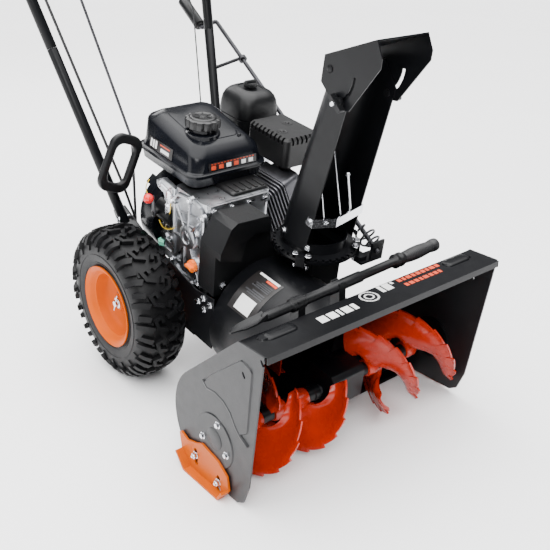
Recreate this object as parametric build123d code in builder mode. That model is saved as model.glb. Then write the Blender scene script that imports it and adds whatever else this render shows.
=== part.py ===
from build123d import *
import math
import os

# Two-stage walk-behind snowblower. Millimetres, front towards -Y, +Z up. Left and right are
# as seen from the front: left is -X, right is +X. Origin: on the ground, in the middle of the
# machine's length and width.

os.makedirs("parts", exist_ok=True)

# ---------------------------------------------------------------- driving dimensions
CLEARING_WIDTH = 560.0
HALF_W = CLEARING_WIDTH / 2
SHEET = 3.0                      # housing and chassis sheet
INNER_HALF_W = HALF_W - SHEET

AUGER_Y, AUGER_Z = -407.0, 105.0  # auger shaft line
AUGER_R = 100.0
BACK_Y, BACK_Z, BACK_R = -405.0, 107.0, 122.0  # curved back of the auger housing
TOP_Z = 328.0
LIP_Y = -548.0
TOP_REAR_Y = -480.0
SHELL_END_ANGLE = -54.8

TILT = 8.0                       # impeller shaft, chassis and engine lean nose-down
DRUM_R = 125.0
SHAFT_Z = 26.0                   # impeller shaft above the auger shaft
DRUM_REAR = 240.0
DUCT_X = (46.0, 125.0)
DUCT_Y = (149.0, 233.0)
DUCT_TOP = 190.0
CHUTE_X, CHUTE_Y = 87.0, 190.0   # chute turning axis
RING_R = 84.0

AXLE_Y, AXLE_Z = 40.0, 165.0
TYRE_R = 165.0
TRACK_HALF = 189.0               # wheel centre from the middle plane
AXLE_R = 9.5
BUSH_R = 14.0

DECK_Z = 60.0
CRANK_X, CRANK_Z = -10.0, 152.0
CHASSIS_HALF = 118.0

TUBE_R = 11.0
TUBE_SPLAY = 0.17754             # handle tubes: outward run per unit of height
TUBE_LEAN = 0.35914              # handle tubes: rearward run per unit of height
TUBE_LOW_Z, TUBE_SPLIT_Z = 300.0, 660.0

# ---------------------------------------------------------------- the leaning unit's frame
UNIT = Location((0, AUGER_Y, AUGER_Z), (TILT, 0, 0))


def across(y):
    """Sketch plane across the impeller shaft; extrude(-d) runs rearward."""
    return Plane(UNIT * Plane.XZ.offset(-y).location)


def level(z):
    """Sketch plane parallel to the engine deck; extrude(+d) runs up."""
    return Plane(UNIT * Plane.XY.offset(z).location)


def upright(x):
    """Sketch plane facing +X, with the shaft direction as its first axis."""
    return Plane(UNIT * Plane.YZ.offset(x).location)


def unit_point(x, y, z):
    """A point given in the leaning unit's frame, as a point of the model."""
    return (UNIT * Location((x, y, z))).position


def tube_point(side, z):
    """A point on the centre line of a handle tube; side is -1 or +1."""
    return Vector(side * (167.57 + TUBE_SPLAY * (z - 500)), 197.69 + TUBE_LEAN * (z - 500), z)


def bar_x(start, depth, radius, centre, mode=Mode.ADD):
    """Round bar along X through a (y, z) point of the leaning frame."""
    with BuildSketch(upright(start)) as end:
        with Locations(centre):
            Circle(radius)
    extrude(end.sketch, amount=depth, mode=mode)


def bar_y(start, depth, radius, centre, mode=Mode.ADD):
    """Round bar running rearward through an (x, z) point of the leaning frame."""
    with BuildSketch(across(start)) as end:
        with Locations(centre):
            Circle(radius)
    extrude(end.sketch, amount=-depth, mode=mode)


def bar_z(start, depth, radius, centre, mode=Mode.ADD, taper=0):
    """Round bar running up through an (x, y) point of the leaning frame."""
    with BuildSketch(level(start)) as end:
        with Locations(centre):
            Circle(radius)
    extrude(end.sketch, amount=depth, mode=mode, taper=taper)


def block(x, y, z, radius, mode=Mode.ADD, taper=0):
    """Upright block of the leaning frame with rounded plan corners."""
    with BuildSketch(level(z[0])) as base:
        with Locations(((x[0] + x[1]) / 2, (y[0] + y[1]) / 2)):
            RectangleRounded(x[1] - x[0], y[1] - y[0], radius)
    extrude(base.sketch, amount=z[1] - z[0], mode=mode, taper=taper)


def bent_rod(points, bend, radius, mode=Mode.ADD):
    """Round rod or tube along a bent line through points of the model."""
    with BuildLine() as line:
        if bend:
            FilletPolyline(*points, radius=bend)
        else:
            Polyline(*points)
    start = Vector(*points[0])
    with BuildSketch(Plane(origin=start, z_dir=Vector(*points[1]) - start)) as end:
        Circle(radius)
    sweep(end.sketch, path=line.line, mode=mode)


def save(node, label):
    node.part.label = label
    export_step(node.part, f"parts/{label}.step")


# ---------------------------------------------------------------- auger housing
shell_r = BACK_R - SHEET / 2
reach = math.hypot(TOP_REAR_Y - BACK_Y, TOP_Z - SHEET / 2 - BACK_Z)
shell_start_angle = math.degrees(
    math.atan2(TOP_Z - SHEET / 2 - BACK_Z, TOP_REAR_Y - BACK_Y) - math.acos(shell_r / reach)
)
shell_start = (
    BACK_Y + shell_r * math.cos(math.radians(shell_start_angle)),
    BACK_Z + shell_r * math.sin(math.radians(shell_start_angle)),
)

with BuildPart() as auger_housing:
    with BuildSketch(Plane.YZ.offset(-INNER_HALF_W)):
        with BuildLine():
            Polyline(
                (LIP_Y + SHEET / 2, TOP_Z - 12),
                (LIP_Y + SHEET / 2, TOP_Z - SHEET / 2),
                (TOP_REAR_Y, TOP_Z - SHEET / 2),
                shell_start,
            )
            CenterArc(
                (BACK_Y, BACK_Z), shell_r, shell_start_angle, SHELL_END_ANGLE - shell_start_angle
            )
        trace(line_width=SHEET)
    extrude(amount=2 * INNER_HALF_W)
    # raised pads near the two ends of the top
    with BuildSketch(Plane.XY.offset(TOP_Z)):
        with Locations((-226, -496), (226, -496)):
            SlotOverall(58, 18)
    extrude(amount=3, taper=30)
    # opening into the impeller drum
    with BuildSketch(across(0)):
        with Locations((0, SHAFT_Z)):
            Circle(DRUM_R - SHEET)
    extrude(amount=-DRUM_REAR, mode=Mode.SUBTRACT)
save(auger_housing, "auger_housing")


def housing_outline():
    """Side view of the auger housing, as drawn on a YZ plane."""
    start = math.radians(shell_start_angle)
    end_angle = -57.0
    end = math.radians(end_angle)
    with BuildLine() as outline:
        top_rear = (TOP_REAR_Y + 1.5, TOP_Z)
        arc_start = (BACK_Y + BACK_R * math.cos(start), BACK_Z + BACK_R * math.sin(start))
        arc_end = (BACK_Y + BACK_R * math.cos(end), BACK_Z + BACK_R * math.sin(end))
        Line(top_rear, arc_start)
        CenterArc((BACK_Y, BACK_Z), BACK_R, shell_start_angle, end_angle - shell_start_angle)
        Polyline(
            arc_end,
            (-466, arc_end[1]),
            (-484, 16),
            (-500, 56),
            (-507, 99),
            (LIP_Y + 5, TOP_Z),
            top_rear,
        )
    return outline


DISH_RISE = 2.0


PLATE_SLOTS = ((-538.0, 316.0), (-494.0, 275.0))


def side_plate(side):
    """End plate of the auger housing; side is -1 for left, +1 for right."""
    outer = side * HALF_W
    with BuildPart() as plate:
        with BuildSketch(Plane.YZ.offset(side * INNER_HALF_W)):
            add(housing_outline())
            make_face()
        extrude(amount=side * SHEET)
        # pressed-out panel and round dish round the auger bearing
        with BuildSketch(Plane.YZ.offset(outer)):
            with BuildLine():
                Polyline(
                    (-516, 292), (-500, 166), (-478, 152), (-440, 146), (-384, 166), (-376, 200),
                    (-400, 230), (-488, 300), (-516, 292),
                )
            make_face()
            fillet(vertices(), 9)
        extrude(amount=side * DISH_RISE, taper=40)
        with BuildSketch(Plane.YZ.offset(outer)):
            with Locations((AUGER_Y, AUGER_Z - 4)):
                Circle(52)
            with Locations((AUGER_Y + 8, AUGER_Z - 40)):
                Rectangle(44, 60)
        extrude(amount=side * DISH_RISE, taper=40)
        # bearing hole, and two small slots near the front edge
        with BuildSketch(Plane.YZ.offset(outer)):
            with Locations((AUGER_Y, AUGER_Z)):
                Circle(16)
            with Locations(*PLATE_SLOTS):
                SlotOverall(12, 5, rotation=60)
        extrude(amount=12, both=True, mode=Mode.SUBTRACT)
    return plate


side_plate_left = side_plate(-1)
save(side_plate_left, "side_plate_left")
side_plate_right = side_plate(1)
save(side_plate_right, "side_plate_right")

with BuildPart() as scraper_bar:
    with BuildSketch(Plane.YZ.offset(-INNER_HALF_W + 2)):
        with BuildLine():
            Polyline((-362, 3), (-322, 3), (-318, 7), (-358, 7), (-362, 3))
        make_face()
    extrude(amount=2 * INNER_HALF_W - 4)
save(scraper_bar, "scraper_bar")

# ---------------------------------------------------------------- impeller drum and duct
with BuildPart() as impeller_drum:
    with BuildSketch(across(-20)):
        with Locations((0, SHAFT_Z)):
            Circle(DRUM_R)
    extrude(amount=-(DRUM_REAR + 20))
    with BuildSketch(level(SHAFT_Z)):
        with Locations((sum(DUCT_X) / 2, sum(DUCT_Y) / 2)):
            Rectangle(DUCT_X[1] - DUCT_X[0], DUCT_Y[1] - DUCT_Y[0])
    extrude(amount=DUCT_TOP - SHAFT_Z)
    with BuildSketch(level(DUCT_TOP - 6)):
        with Locations((CHUTE_X, CHUTE_Y)):
            Circle(RING_R)
    extrude(amount=6)
    # bore of the drum and of the duct
    with BuildSketch(across(-30)):
        with Locations((0, SHAFT_Z)):
            Circle(DRUM_R - SHEET)
    extrude(amount=-(DRUM_REAR + 30 - SHEET), mode=Mode.SUBTRACT)
    with BuildSketch(level(SHAFT_Z)):
        with Locations((sum(DUCT_X) / 2, sum(DUCT_Y) / 2)):
            Rectangle(DUCT_X[1] - DUCT_X[0] - 2 * SHEET, DUCT_Y[1] - DUCT_Y[0] - 2 * SHEET)
    extrude(amount=DUCT_TOP, mode=Mode.SUBTRACT)
    # shaft hole in the rear wall
    with BuildSketch(across(DRUM_REAR - 10)):
        with Locations((0, SHAFT_Z)):
            Circle(17)
    extrude(amount=-20, mode=Mode.SUBTRACT)
    # the front end follows the housing's back
    with BuildSketch(Plane.YZ.offset(-HALF_W)):
        add(housing_outline())
        make_face()
        with Locations((BACK_Y, 0)):
            Rectangle(130, 60)
    extrude(amount=2 * HALF_W, mode=Mode.SUBTRACT)
save(impeller_drum, "impeller_drum")


# ---------------------------------------------------------------- skid shoes
SKID_BOLTS = ((-352.0, 40.0), (-420.0, 22.0))
SKID_FACE = HALF_W + DISH_RISE


def skid_shoe(side):
    """Adjustable runner bolted to the outside of a side plate."""
    inner = side * SKID_FACE
    with BuildPart() as shoe:
        with BuildSketch(Plane.YZ.offset(inner)):
            with BuildLine():
                Polyline(
                    (-306, 30), (-300, 70), (-326, 58), (-352, 66), (-372, 76), (-420, 66),
                    (-446, 48), (-450, 20), (-436, 0), (-330, 0), (-306, 30),
                )
            make_face()
            fillet(vertices().group_by(Axis.Y)[0], 12)
            fillet(vertices().filter_by(lambda corner: corner.Y > 45), 6)
        extrude(amount=side * 4)
        # runner turned outwards along the bottom, upswept at both ends
        with BuildSketch(Plane.YZ.offset(inner + side * 4)):
            with BuildLine():
                Polyline(
                    (-450, 20), (-436, 0), (-330, 0), (-306, 30), (-310, 33), (-332.5, 4),
                    (-433.5, 4), (-446.5, 23), (-450, 20),
                )
            make_face()
        extrude(amount=side * 15)
        # upright slots for the height adjustment
        for y, z in SKID_BOLTS:
            with BuildSketch(Plane.YZ.offset(inner)):
                with Locations((y, z - 4)):
                    SlotOverall(36, 10, rotation=90)
            extrude(amount=side * 4, mode=Mode.SUBTRACT)
    return shoe


skid_shoe_left = skid_shoe(-1)
save(skid_shoe_left, "skid_shoe_left")
skid_shoe_right = skid_shoe(1)
save(skid_shoe_right, "skid_shoe_right")


# ---------------------------------------------------------------- auger line
FLIGHT_IN_R = 58.0
FLIGHT_T = 4.0
AUGER_TUBE_R = 19.0
AUGER_SHAFT_R = 10.0
AUGER_INNER_X, AUGER_OUTER_X = 48.0, 262.0
BLADE_PITCH = {-1: 190.0, 1: 260.0}  # axial run of one blade per full turn, left and right
BLADE_REACH = 0.25               # each blade runs this part of a turn to both sides of its arm
BLADES = ((91.0, 0.0), (145.0, 180.0), (199.0, 0.0))  # arm place on the shaft, turned by
FIRST_ARM = {-1: 133.0, 1: 43.0}  # first arm's angle from the top towards the front


def auger(side):
    """One half of the auger: three half-turn blades, each on an arm of the tube over the shaft."""
    axis_plane = Plane(origin=(AUGER_INNER_X + 4, AUGER_Y, AUGER_Z), x_dir=(0, 0, 1), z_dir=(1, 0, 0))
    mean_r = (AUGER_R + FLIGHT_IN_R) / 2
    pitch = BLADE_PITCH[side]
    with BuildPart() as half:
        with BuildSketch(axis_plane):
            Circle(AUGER_TUBE_R)
        extrude(amount=AUGER_OUTER_X - AUGER_INNER_X - 6)
        for arm_x, turned in BLADES:
            first = max(-BLADE_REACH, (AUGER_INNER_X - arm_x) / pitch)
            centre = Vector(arm_x + first * pitch, AUGER_Y, AUGER_Z)
            arm_angle = FIRST_ARM[side] + turned
            with BuildLine() as path:
                helix = Helix(
                    pitch, pitch * (BLADE_REACH - first), mean_r,
                    center=centre, direction=(1, 0, 0), mode=Mode.PRIVATE,
                )
                add(helix.rotate(Axis(centre, (1, 0, 0)), arm_angle + 360 * first))
            start = path.line @ 0
            with BuildSketch(Plane(origin=start, x_dir=start - centre, z_dir=path.line % 0)):
                Rectangle(AUGER_R - FLIGHT_IN_R, FLIGHT_T)
            sweep(is_frenet=True)
            # arm from the tube to the middle of the blade
            arm_place = Location((0, 0, arm_x - AUGER_INNER_X - 4), (0, 0, arm_angle))
            with BuildSketch(Plane(axis_plane.location * arm_place)):
                with Locations(((AUGER_TUBE_R + FLIGHT_IN_R) / 2 + 2, 0)):
                    Rectangle(FLIGHT_IN_R - AUGER_TUBE_R + 14, 34)
            extrude(amount=FLIGHT_T / 2, both=True)
        with BuildSketch(axis_plane.offset(-20)):
            Circle(AUGER_SHAFT_R + 0.2)
        extrude(amount=AUGER_OUTER_X, mode=Mode.SUBTRACT)
        if side < 0:
            mirror(about=Plane.YZ, mode=Mode.REPLACE)
    return half


auger_left = auger(-1)
save(auger_left, "auger_left")
auger_right = auger(1)
save(auger_right, "auger_right")

GEARBOX_HALF = 40.0
WHEEL_FACE = 7.0
with BuildPart() as auger_shaft:
    with BuildSketch(Plane(origin=(-272, AUGER_Y, AUGER_Z), x_dir=(0, 1, 0), z_dir=(1, 0, 0))):
        Circle(AUGER_SHAFT_R)
    extrude(amount=544)
    # ten-tooth worm wheel
    with BuildSketch(Plane(origin=(-WHEEL_FACE, AUGER_Y, AUGER_Z), x_dir=(0, 1, 0), z_dir=(1, 0, 0))):
        Circle(12.5)
        with PolarLocations(13.5, 10):
            Rectangle(3.6, 4)
    extrude(amount=2 * WHEEL_FACE)
save(auger_shaft, "auger_shaft")

with BuildPart() as gearbox_case:
    # wheel housing along the auger shaft
    with BuildSketch(upright(-GEARBOX_HALF)):
        with BuildLine():
            Polyline((-34, -26), (-20, -38), (26, -38), (36, -24), (36, 44), (-26, 44), (-34, 34),
                     (-34, -26))
        make_face()
        fillet(vertices(), 6)
    extrude(amount=2 * GEARBOX_HALF)
    # neck round the impeller shaft
    with BuildSketch(across(30)):
        with Locations((0, SHAFT_Z)):
            Circle(21)
    extrude(amount=-70)
    # hollow inside, and the shaft bores
    with BuildSketch(upright(-GEARBOX_HALF + 10)):
        Rectangle(50, 50)
        with Locations((0, 19)):
            Rectangle(50, 38)
    extrude(amount=2 * (GEARBOX_HALF - 10), mode=Mode.SUBTRACT)
    with BuildSketch(upright(-GEARBOX_HALF - 5)):
        Circle(AUGER_SHAFT_R + 0.05)
    extrude(amount=2 * GEARBOX_HALF + 10, mode=Mode.SUBTRACT)
    with BuildSketch(across(0)):
        with Locations((0, SHAFT_Z)):
            Circle(10.05)
    extrude(amount=-110, mode=Mode.SUBTRACT)
save(gearbox_case, "gearbox_case")

with BuildPart() as shaft_bearings:
    # flanged bearings inside the two side plates
    for side in (-1, 1):
        with BuildSketch(Plane.YZ.offset(side * INNER_HALF_W)):
            with Locations((AUGER_Y, AUGER_Z)):
                Circle(46)
                Circle(AUGER_SHAFT_R + 0.05, mode=Mode.SUBTRACT)
        extrude(amount=-side * 4)
        with BuildSketch(Plane.YZ.offset(side * HALF_W)):
            with Locations((AUGER_Y, AUGER_Z)):
                Circle(15.9)
                Circle(AUGER_SHAFT_R + 0.05, mode=Mode.SUBTRACT)
        extrude(amount=-side * 3)
        # axle bush in the chassis side
        with BuildSketch(Plane(origin=(side * (CHASSIS_HALF - 6), AXLE_Y, AXLE_Z), z_dir=(side, 0, 0))):
            Circle(BUSH_R)
            Circle(AXLE_R + 0.05, mode=Mode.SUBTRACT)
        extrude(amount=9)
    # impeller bearing behind the drum
    with BuildSketch(across(DRUM_REAR)):
        with Locations((0, SHAFT_Z)):
            Circle(34)
            Circle(10.05, mode=Mode.SUBTRACT)
    extrude(amount=-8)
save(shaft_bearings, "shaft_bearings")

CRANK_PULLEY_R = 36.0
DISC_X, DISC_Z = 0.0, 14.0
BELT_PLANES = (269.0, 286.0)


def vee_pulley(x, z, radius, start, end, middle):
    """Half section of a pulley with one vee groove, its axis along the shaft."""
    with BuildSketch(upright(x)) as section:
        with BuildLine():
            Polyline(
                (start, z), (start, z + radius), (middle - 7, z + radius),
                (middle - 3, z + radius - 12), (middle + 3, z + radius - 12),
                (middle + 7, z + radius), (end, z + radius), (end, z), (start, z),
            )
        make_face()
    return section.sketch


def shaft_axis(x, z):
    return Axis(unit_point(x, 0, z), unit_point(x, 1, z) - unit_point(x, 0, z))


IMPELLER_Y = (DUCT_Y[0] + 5, DUCT_Y[1] - 5)
with BuildPart() as impeller_shaft:
    with BuildSketch(across(-22)):
        with Locations((0, SHAFT_Z)):
            Circle(10)
    extrude(amount=-(277 + 22))
    revolve(vee_pulley(0, SHAFT_Z, 72, 261, 277, BELT_PLANES[0]), axis=shaft_axis(0, SHAFT_Z))
save(impeller_shaft, "impeller_shaft")

with BuildPart() as impeller:
    with BuildSketch(across(IMPELLER_Y[0])):
        with Locations((0, SHAFT_Z)):
            Circle(19)
    extrude(amount=-(IMPELLER_Y[1] - IMPELLER_Y[0]))
    # four blades with tips bent into the turn
    with BuildSketch(across(IMPELLER_Y[0])):
        with Locations((0, SHAFT_Z)):
            with PolarLocations(0, 4):
                with Locations((66, 0)):
                    Rectangle(100, 4)
                with Locations((110, 8)):
                    Rectangle(14, 4, rotation=70)
    extrude(amount=-(IMPELLER_Y[1] - IMPELLER_Y[0]))
    with BuildSketch(across(IMPELLER_Y[1] - 3)):
        with Locations((0, SHAFT_Z)):
            Circle(60)
    extrude(amount=-3)
    with BuildSketch(across(0)):
        with Locations((0, SHAFT_Z)):
            Circle(10)
    extrude(amount=-DRUM_REAR, mode=Mode.SUBTRACT)
save(impeller, "impeller")

# ---------------------------------------------------------------- drive under the belt cover
with BuildPart() as crankshaft_pulley:
    for middle in BELT_PLANES:
        groove = vee_pulley(CRANK_X, CRANK_Z, CRANK_PULLEY_R, middle - 8.5, middle + 8.5, middle)
        revolve(groove, axis=shaft_axis(CRANK_X, CRANK_Z))
    with BuildSketch(across(254)):
        with Locations((CRANK_X, CRANK_Z)):
            Circle(12)
    extrude(amount=-80)
save(crankshaft_pulley, "crankshaft_pulley")

with BuildPart() as friction_disc:
    revolve(vee_pulley(DISC_X, DISC_Z, 40, 278, 294, BELT_PLANES[1]), axis=shaft_axis(DISC_X, DISC_Z))
    for start, depth, radius in ((290, 20, 9.95), (306, 5, 40)):
        with BuildSketch(across(start)):
            with Locations((DISC_X, DISC_Z)):
                Circle(radius)
        extrude(amount=-depth)
save(friction_disc, "friction_disc")


BELTS = (
    (BELT_PLANES[0], (0.0, SHAFT_Z), 61.0),
    (BELT_PLANES[1], (DISC_X, DISC_Z), 29.0),
)
with BuildPart() as drive_belts:
    for middle, low, low_r in BELTS:
        for grow, mode in ((9, Mode.ADD), (0, Mode.SUBTRACT)):
            with BuildSketch(across(middle - 2.8)):
                with Locations(low):
                    Circle(low_r + grow)
                with Locations((CRANK_X, CRANK_Z)):
                    Circle(CRANK_PULLEY_R - 11 + grow)
                make_hull()
            extrude(amount=-5.6, mode=mode)
save(drive_belts, "drive_belts")

# ---------------------------------------------------------------- belt cover
COVER_Y = (248.0, 300.0)
HOOD_Y = 232.0
COVER_T = 2.5
COVER_OUTLINE = (
    (-114, 93), (-114, 196), (-92, 244), (-78, 254), (-4, 251), (8, 240), (20, 192), (22, 180),
    (44, 172), (114, 146), (114, 93),
)
HOOD_OUTLINE = (
    (-114, 182), (-114, 196), (-92, 244), (-78, 254), (-4, 251), (6, 242), (4, 216), (-34, 220),
    (-52, 208), (-64, 166),
)
with BuildPart() as belt_cover:
    # two stepped boxes, then the hollow inside both
    for outline, start, end in (
        (COVER_OUTLINE, COVER_Y[0], COVER_Y[1]),
        (HOOD_OUTLINE, HOOD_Y, COVER_Y[0] + 4),
    ):
        with BuildSketch(across(start)):
            with BuildLine():
                Polyline(*outline, close=True)
            make_face()
        extrude(amount=start - end)
    for outline, start, end in (
        (COVER_OUTLINE, COVER_Y[0] + COVER_T, COVER_Y[1] + 1),
        (HOOD_OUTLINE, HOOD_Y + COVER_T, COVER_Y[0] + COVER_T),
    ):
        with BuildSketch(across(start)):
            with BuildLine():
                Polyline(*outline, close=True)
            make_face()
            offset(amount=-COVER_T, mode=Mode.REPLACE)
        extrude(amount=start - end, mode=Mode.SUBTRACT)
    # open along the bottom
    with BuildSketch(across(COVER_Y[0] + COVER_T)):
        with Locations((0, 93)):
            Rectangle(228 - 2 * COVER_T, 12)
    extrude(amount=-60, mode=Mode.SUBTRACT)
save(belt_cover, "belt_cover")

# ---------------------------------------------------------------- chassis
axle_u = (UNIT.inverse() * Location((0, AXLE_Y, AXLE_Z))).position
AXLE_U = (axle_u.Y, axle_u.Z)    # axle in the leaning frame: along the shaft, up
SHIFT_U = (346.0, DISC_Z)        # friction wheel's shaft, likewise
with BuildPart() as chassis:
    for side in (-1, 1):
        with BuildSketch(upright(side * CHASSIS_HALF)):
            with BuildLine():
                Polyline(
                    (DRUM_REAR, -28), (390, -28), (418, -44), (488, -44), (520, -20), (600, 76),
                    (632, 112), (584, 146), (476, 111), (301, 82), (DRUM_REAR, 92),
                    (DRUM_REAR, -28),
                )
            make_face()
            with Locations(AXLE_U):
                Circle(BUSH_R, mode=Mode.SUBTRACT)
            with Locations(SHIFT_U):
                Circle(8, mode=Mode.SUBTRACT)
        extrude(amount=-side * SHEET)
    # bulkhead and engine deck
    with BuildSketch(upright(-CHASSIS_HALF + SHEET)):
        with BuildLine():
            Polyline(
                (300, -28), (300, DECK_Z), (466, DECK_Z), (466, DECK_Z - SHEET),
                (300 + SHEET, DECK_Z - SHEET), (300 + SHEET, -28), (300, -28),
            )
        make_face()
    extrude(amount=2 * (CHASSIS_HALF - SHEET))
    with BuildSketch(across(290)):
        with Locations((DISC_X, DISC_Z)):
            Circle(10.02)
    extrude(amount=-14, mode=Mode.SUBTRACT)
save(chassis, "chassis")

with BuildPart() as bottom_cover:
    with BuildSketch(level(-31)):
        with Locations((0, 345)):
            Rectangle(2 * CHASSIS_HALF, 86)
    extrude(amount=3)
save(bottom_cover, "bottom_cover")

# ---------------------------------------------------------------- wheels and axle
SPROCKET_X = 92.0
HUB_OUT = 246.0
with BuildPart() as axle:
    with BuildSketch(Plane(origin=(-HUB_OUT, AXLE_Y, AXLE_Z), x_dir=(0, 1, 0), z_dir=(1, 0, 0))):
        Circle(AXLE_R)
    extrude(amount=2 * HUB_OUT)
    # driven sprocket and its hub
    for start, depth, radius in ((SPROCKET_X - 3, 6, 40), (SPROCKET_X - 12, 20, 18)):
        with BuildSketch(Plane(origin=(start, AXLE_Y, AXLE_Z), x_dir=(0, 1, 0), z_dir=(1, 0, 0))):
            Circle(radius)
        extrude(amount=depth)
    # locking pins through the axle outside the rims
    for side in (-1, 1):
        with BuildSketch(Plane(origin=(side * (HUB_OUT - 5), AXLE_Y, AXLE_Z - 15))):
            Circle(2.5)
        extrude(amount=30)
save(axle, "axle")

with BuildPart() as wheel_rims:
    for side in (-1, 1):
        place = Plane(
            origin=(side * TRACK_HALF, AXLE_Y, AXLE_Z), x_dir=(side, 0, 0), z_dir=(0, 0, 1)
        )
        with BuildSketch(place):
            with BuildLine():
                Polyline(
                    (-46, AXLE_R), (-46, 18), (6, 18), (14, 30), (14, 48), (2, 64), (-40, 66),
                    (-46, 78), (-51, 87), (-48, 88), (-42, 80), (-36, 72), (36, 72), (42, 80),
                    (48, 88), (51, 87), (46, 78), (40, 66), (8, 62), (18, 48), (18, 28), (10, 16),
                    (49, 16), (49, AXLE_R), (-46, AXLE_R),
                )
            make_face()
        revolve(axis=Axis((0, AXLE_Y, AXLE_Z), (1, 0, 0)))
save(wheel_rims, "wheel_rims")

with BuildPart() as wheel_tyres:
    for side in (-1, 1):
        with BuildSketch(Plane(origin=(side * TRACK_HALF, AXLE_Y, AXLE_Z))):
            with BuildLine():
                Polyline(
                    (-36, 72), (36, 72), (42, 80), (48, 88), (52, 112), (50, 140), (42, 156),
                    (26, TYRE_R - 2), (0, TYRE_R), (-26, TYRE_R - 2), (-42, 156), (-50, 140),
                    (-52, 112), (-48, 88), (-42, 80), (-36, 72),
                )
            make_face()
        revolve(axis=Axis((0, AXLE_Y, AXLE_Z), (1, 0, 0)))
save(wheel_tyres, "wheel_tyres")

# ---------------------------------------------------------------- friction-wheel transmission
with BuildPart() as transmission_shaft:
    with BuildSketch(upright(-108)):
        with Locations(SHIFT_U):
            RegularPolygon(7.9, 6)
    extrude(amount=216)
    bar_x(-CHASSIS_HALF, 2 * CHASSIS_HALF, 7.95, SHIFT_U)
    bar_x(22, 12, 34, SHIFT_U)
    bar_x(18, 22, 20, SHIFT_U)
    bar_x(SPROCKET_X - 3, 6, 14, SHIFT_U)
save(transmission_shaft, "transmission_shaft")

with BuildPart() as drive_chain:
    for grow, mode in ((6, Mode.ADD), (0, Mode.SUBTRACT)):
        with BuildSketch(upright(SPROCKET_X - 3)):
            with Locations(SHIFT_U):
                Circle(14.4 + grow)
            with Locations(AXLE_U):
                Circle(40.4 + grow)
            make_hull()
        extrude(amount=6, mode=mode)
save(drive_chain, "drive_chain")

# ---------------------------------------------------------------- engine
CASE_X = (-100.0, 62.0)
CASE_Y = (306.0, 415.0)
CASE_TOP = 262.0
DIPSTICK_AT = (330.0, 120.0)
DRAIN_AT = (-103.0, 448.0)

with BuildPart() as crankcase:
    block((CASE_X[0] + 8, CASE_X[1]), CASE_Y, (DECK_Z, 90), 10)
    block(CASE_X, CASE_Y, (78, CASE_TOP), 14)
    # ring and bosses of the front cover
    with BuildSketch(across(CASE_Y[0])):
        with Locations((CRANK_X, CRANK_Z)):
            Circle(44)
            Circle(36, mode=Mode.SUBTRACT)
    extrude(amount=4)
    for x, z in ((-86, 246), (-86, 98), (48, 246), (48, 98), (-88, 175)):
        bar_y(CASE_Y[0] - 4, 10, 8, (x, z))
    # lug of the filler plug, low on the left
    bar_x(CASE_X[0] - 6, 20, 15, DIPSTICK_AT)
    # drain pipe, out to the rear and up
    bar_y(CASE_Y[1] - 30, DRAIN_AT[1] + 8 - CASE_Y[1] + 30, 8, (DRAIN_AT[0] + 8, 96))
    bar_z(90, 22, 8, DRAIN_AT)
    bar_z(98, 20, 5.05, DRAIN_AT, Mode.SUBTRACT)
    bar_y(250, 90, 12.05, (CRANK_X, CRANK_Z), Mode.SUBTRACT)
    bar_x(CASE_X[0] - 20, 36, 8.05, DIPSTICK_AT, Mode.SUBTRACT)
save(crankcase, "crankcase")

CYLINDER_LEAN = 25.0
CYLINDER_AT = (368.0, 186.0)
with BuildPart() as cylinder:
    bore_place = UNIT * Location((CASE_X[1], *CYLINDER_AT), (0, 90 - CYLINDER_LEAN, 0))
    with BuildSketch(Plane(bore_place * Location((0, 0, -30)))):
        Circle(40)
    extrude(amount=100)
    for fin in range(8):
        with BuildSketch(Plane(bore_place * Location((0, 0, 8 + fin * 8.0)))):
            RectangleRounded(96, 104, 10)
        extrude(amount=2.6)
    with BuildSketch(Plane(bore_place * Location((0, 0, 70)))):
        RectangleRounded(92, 100, 10)
    extrude(amount=26)
    # valve cover
    with BuildSketch(Plane(bore_place * Location((0, 0, 96)))):
        RectangleRounded(78, 84, 14)
    extrude(amount=20, taper=8)
    # cut flush with the crankcase side
    with BuildSketch(upright(CASE_X[1])):
        with Locations(CYLINDER_AT):
            Rectangle(240, 260)
    extrude(amount=-80, mode=Mode.SUBTRACT)
save(cylinder, "cylinder")

MUFFLER_X, MUFFLER_Y, MUFFLER_Z = (104.0, 199.0), (321.0, 450.0), (290.0, 352.0)
with BuildPart() as muffler:
    block(MUFFLER_X, MUFFLER_Y, (MUFFLER_Z[0], MUFFLER_Z[1] - 5), 12)
    block(MUFFLER_X, MUFFLER_Y, (MUFFLER_Z[1] - 5, MUFFLER_Z[1]), 12, taper=45)
    # cooling slots over the top edge of the guard
    with BuildSketch(level(MUFFLER_Z[1] - 14)):
        with Locations((MUFFLER_X[0], sum(MUFFLER_Y) / 2)):
            with GridLocations(1, 12.5, 1, 9):
                Rectangle(16, 5)
        with Locations((sum(MUFFLER_X) / 2, MUFFLER_Y[0])):
            with GridLocations(12, 1, 6, 1):
                Rectangle(5, 16)
    extrude(amount=20, mode=Mode.SUBTRACT)
    # outlet stub from the head
    bar_z(230, 62, 14, (150, 372))
    add(cylinder.part, mode=Mode.SUBTRACT)
save(muffler, "muffler")

HEATER_X, HEATER_Y, HEATER_Z = (112.0, 214.0), (469.0, 580.0), (300.0, 392.0)
KNOB_AT = (163.0, 524.0)
with BuildPart() as heater_box:
    block(HEATER_X, HEATER_Y, (HEATER_Z[0], 374), 16, taper=2)
    block((115, 211), (472, 577), (374, HEATER_Z[1]), 16, taper=38)
    bar_z(HEATER_Z[0], 110, 4.05, KNOB_AT, Mode.SUBTRACT)
save(heater_box, "heater_box")

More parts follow.
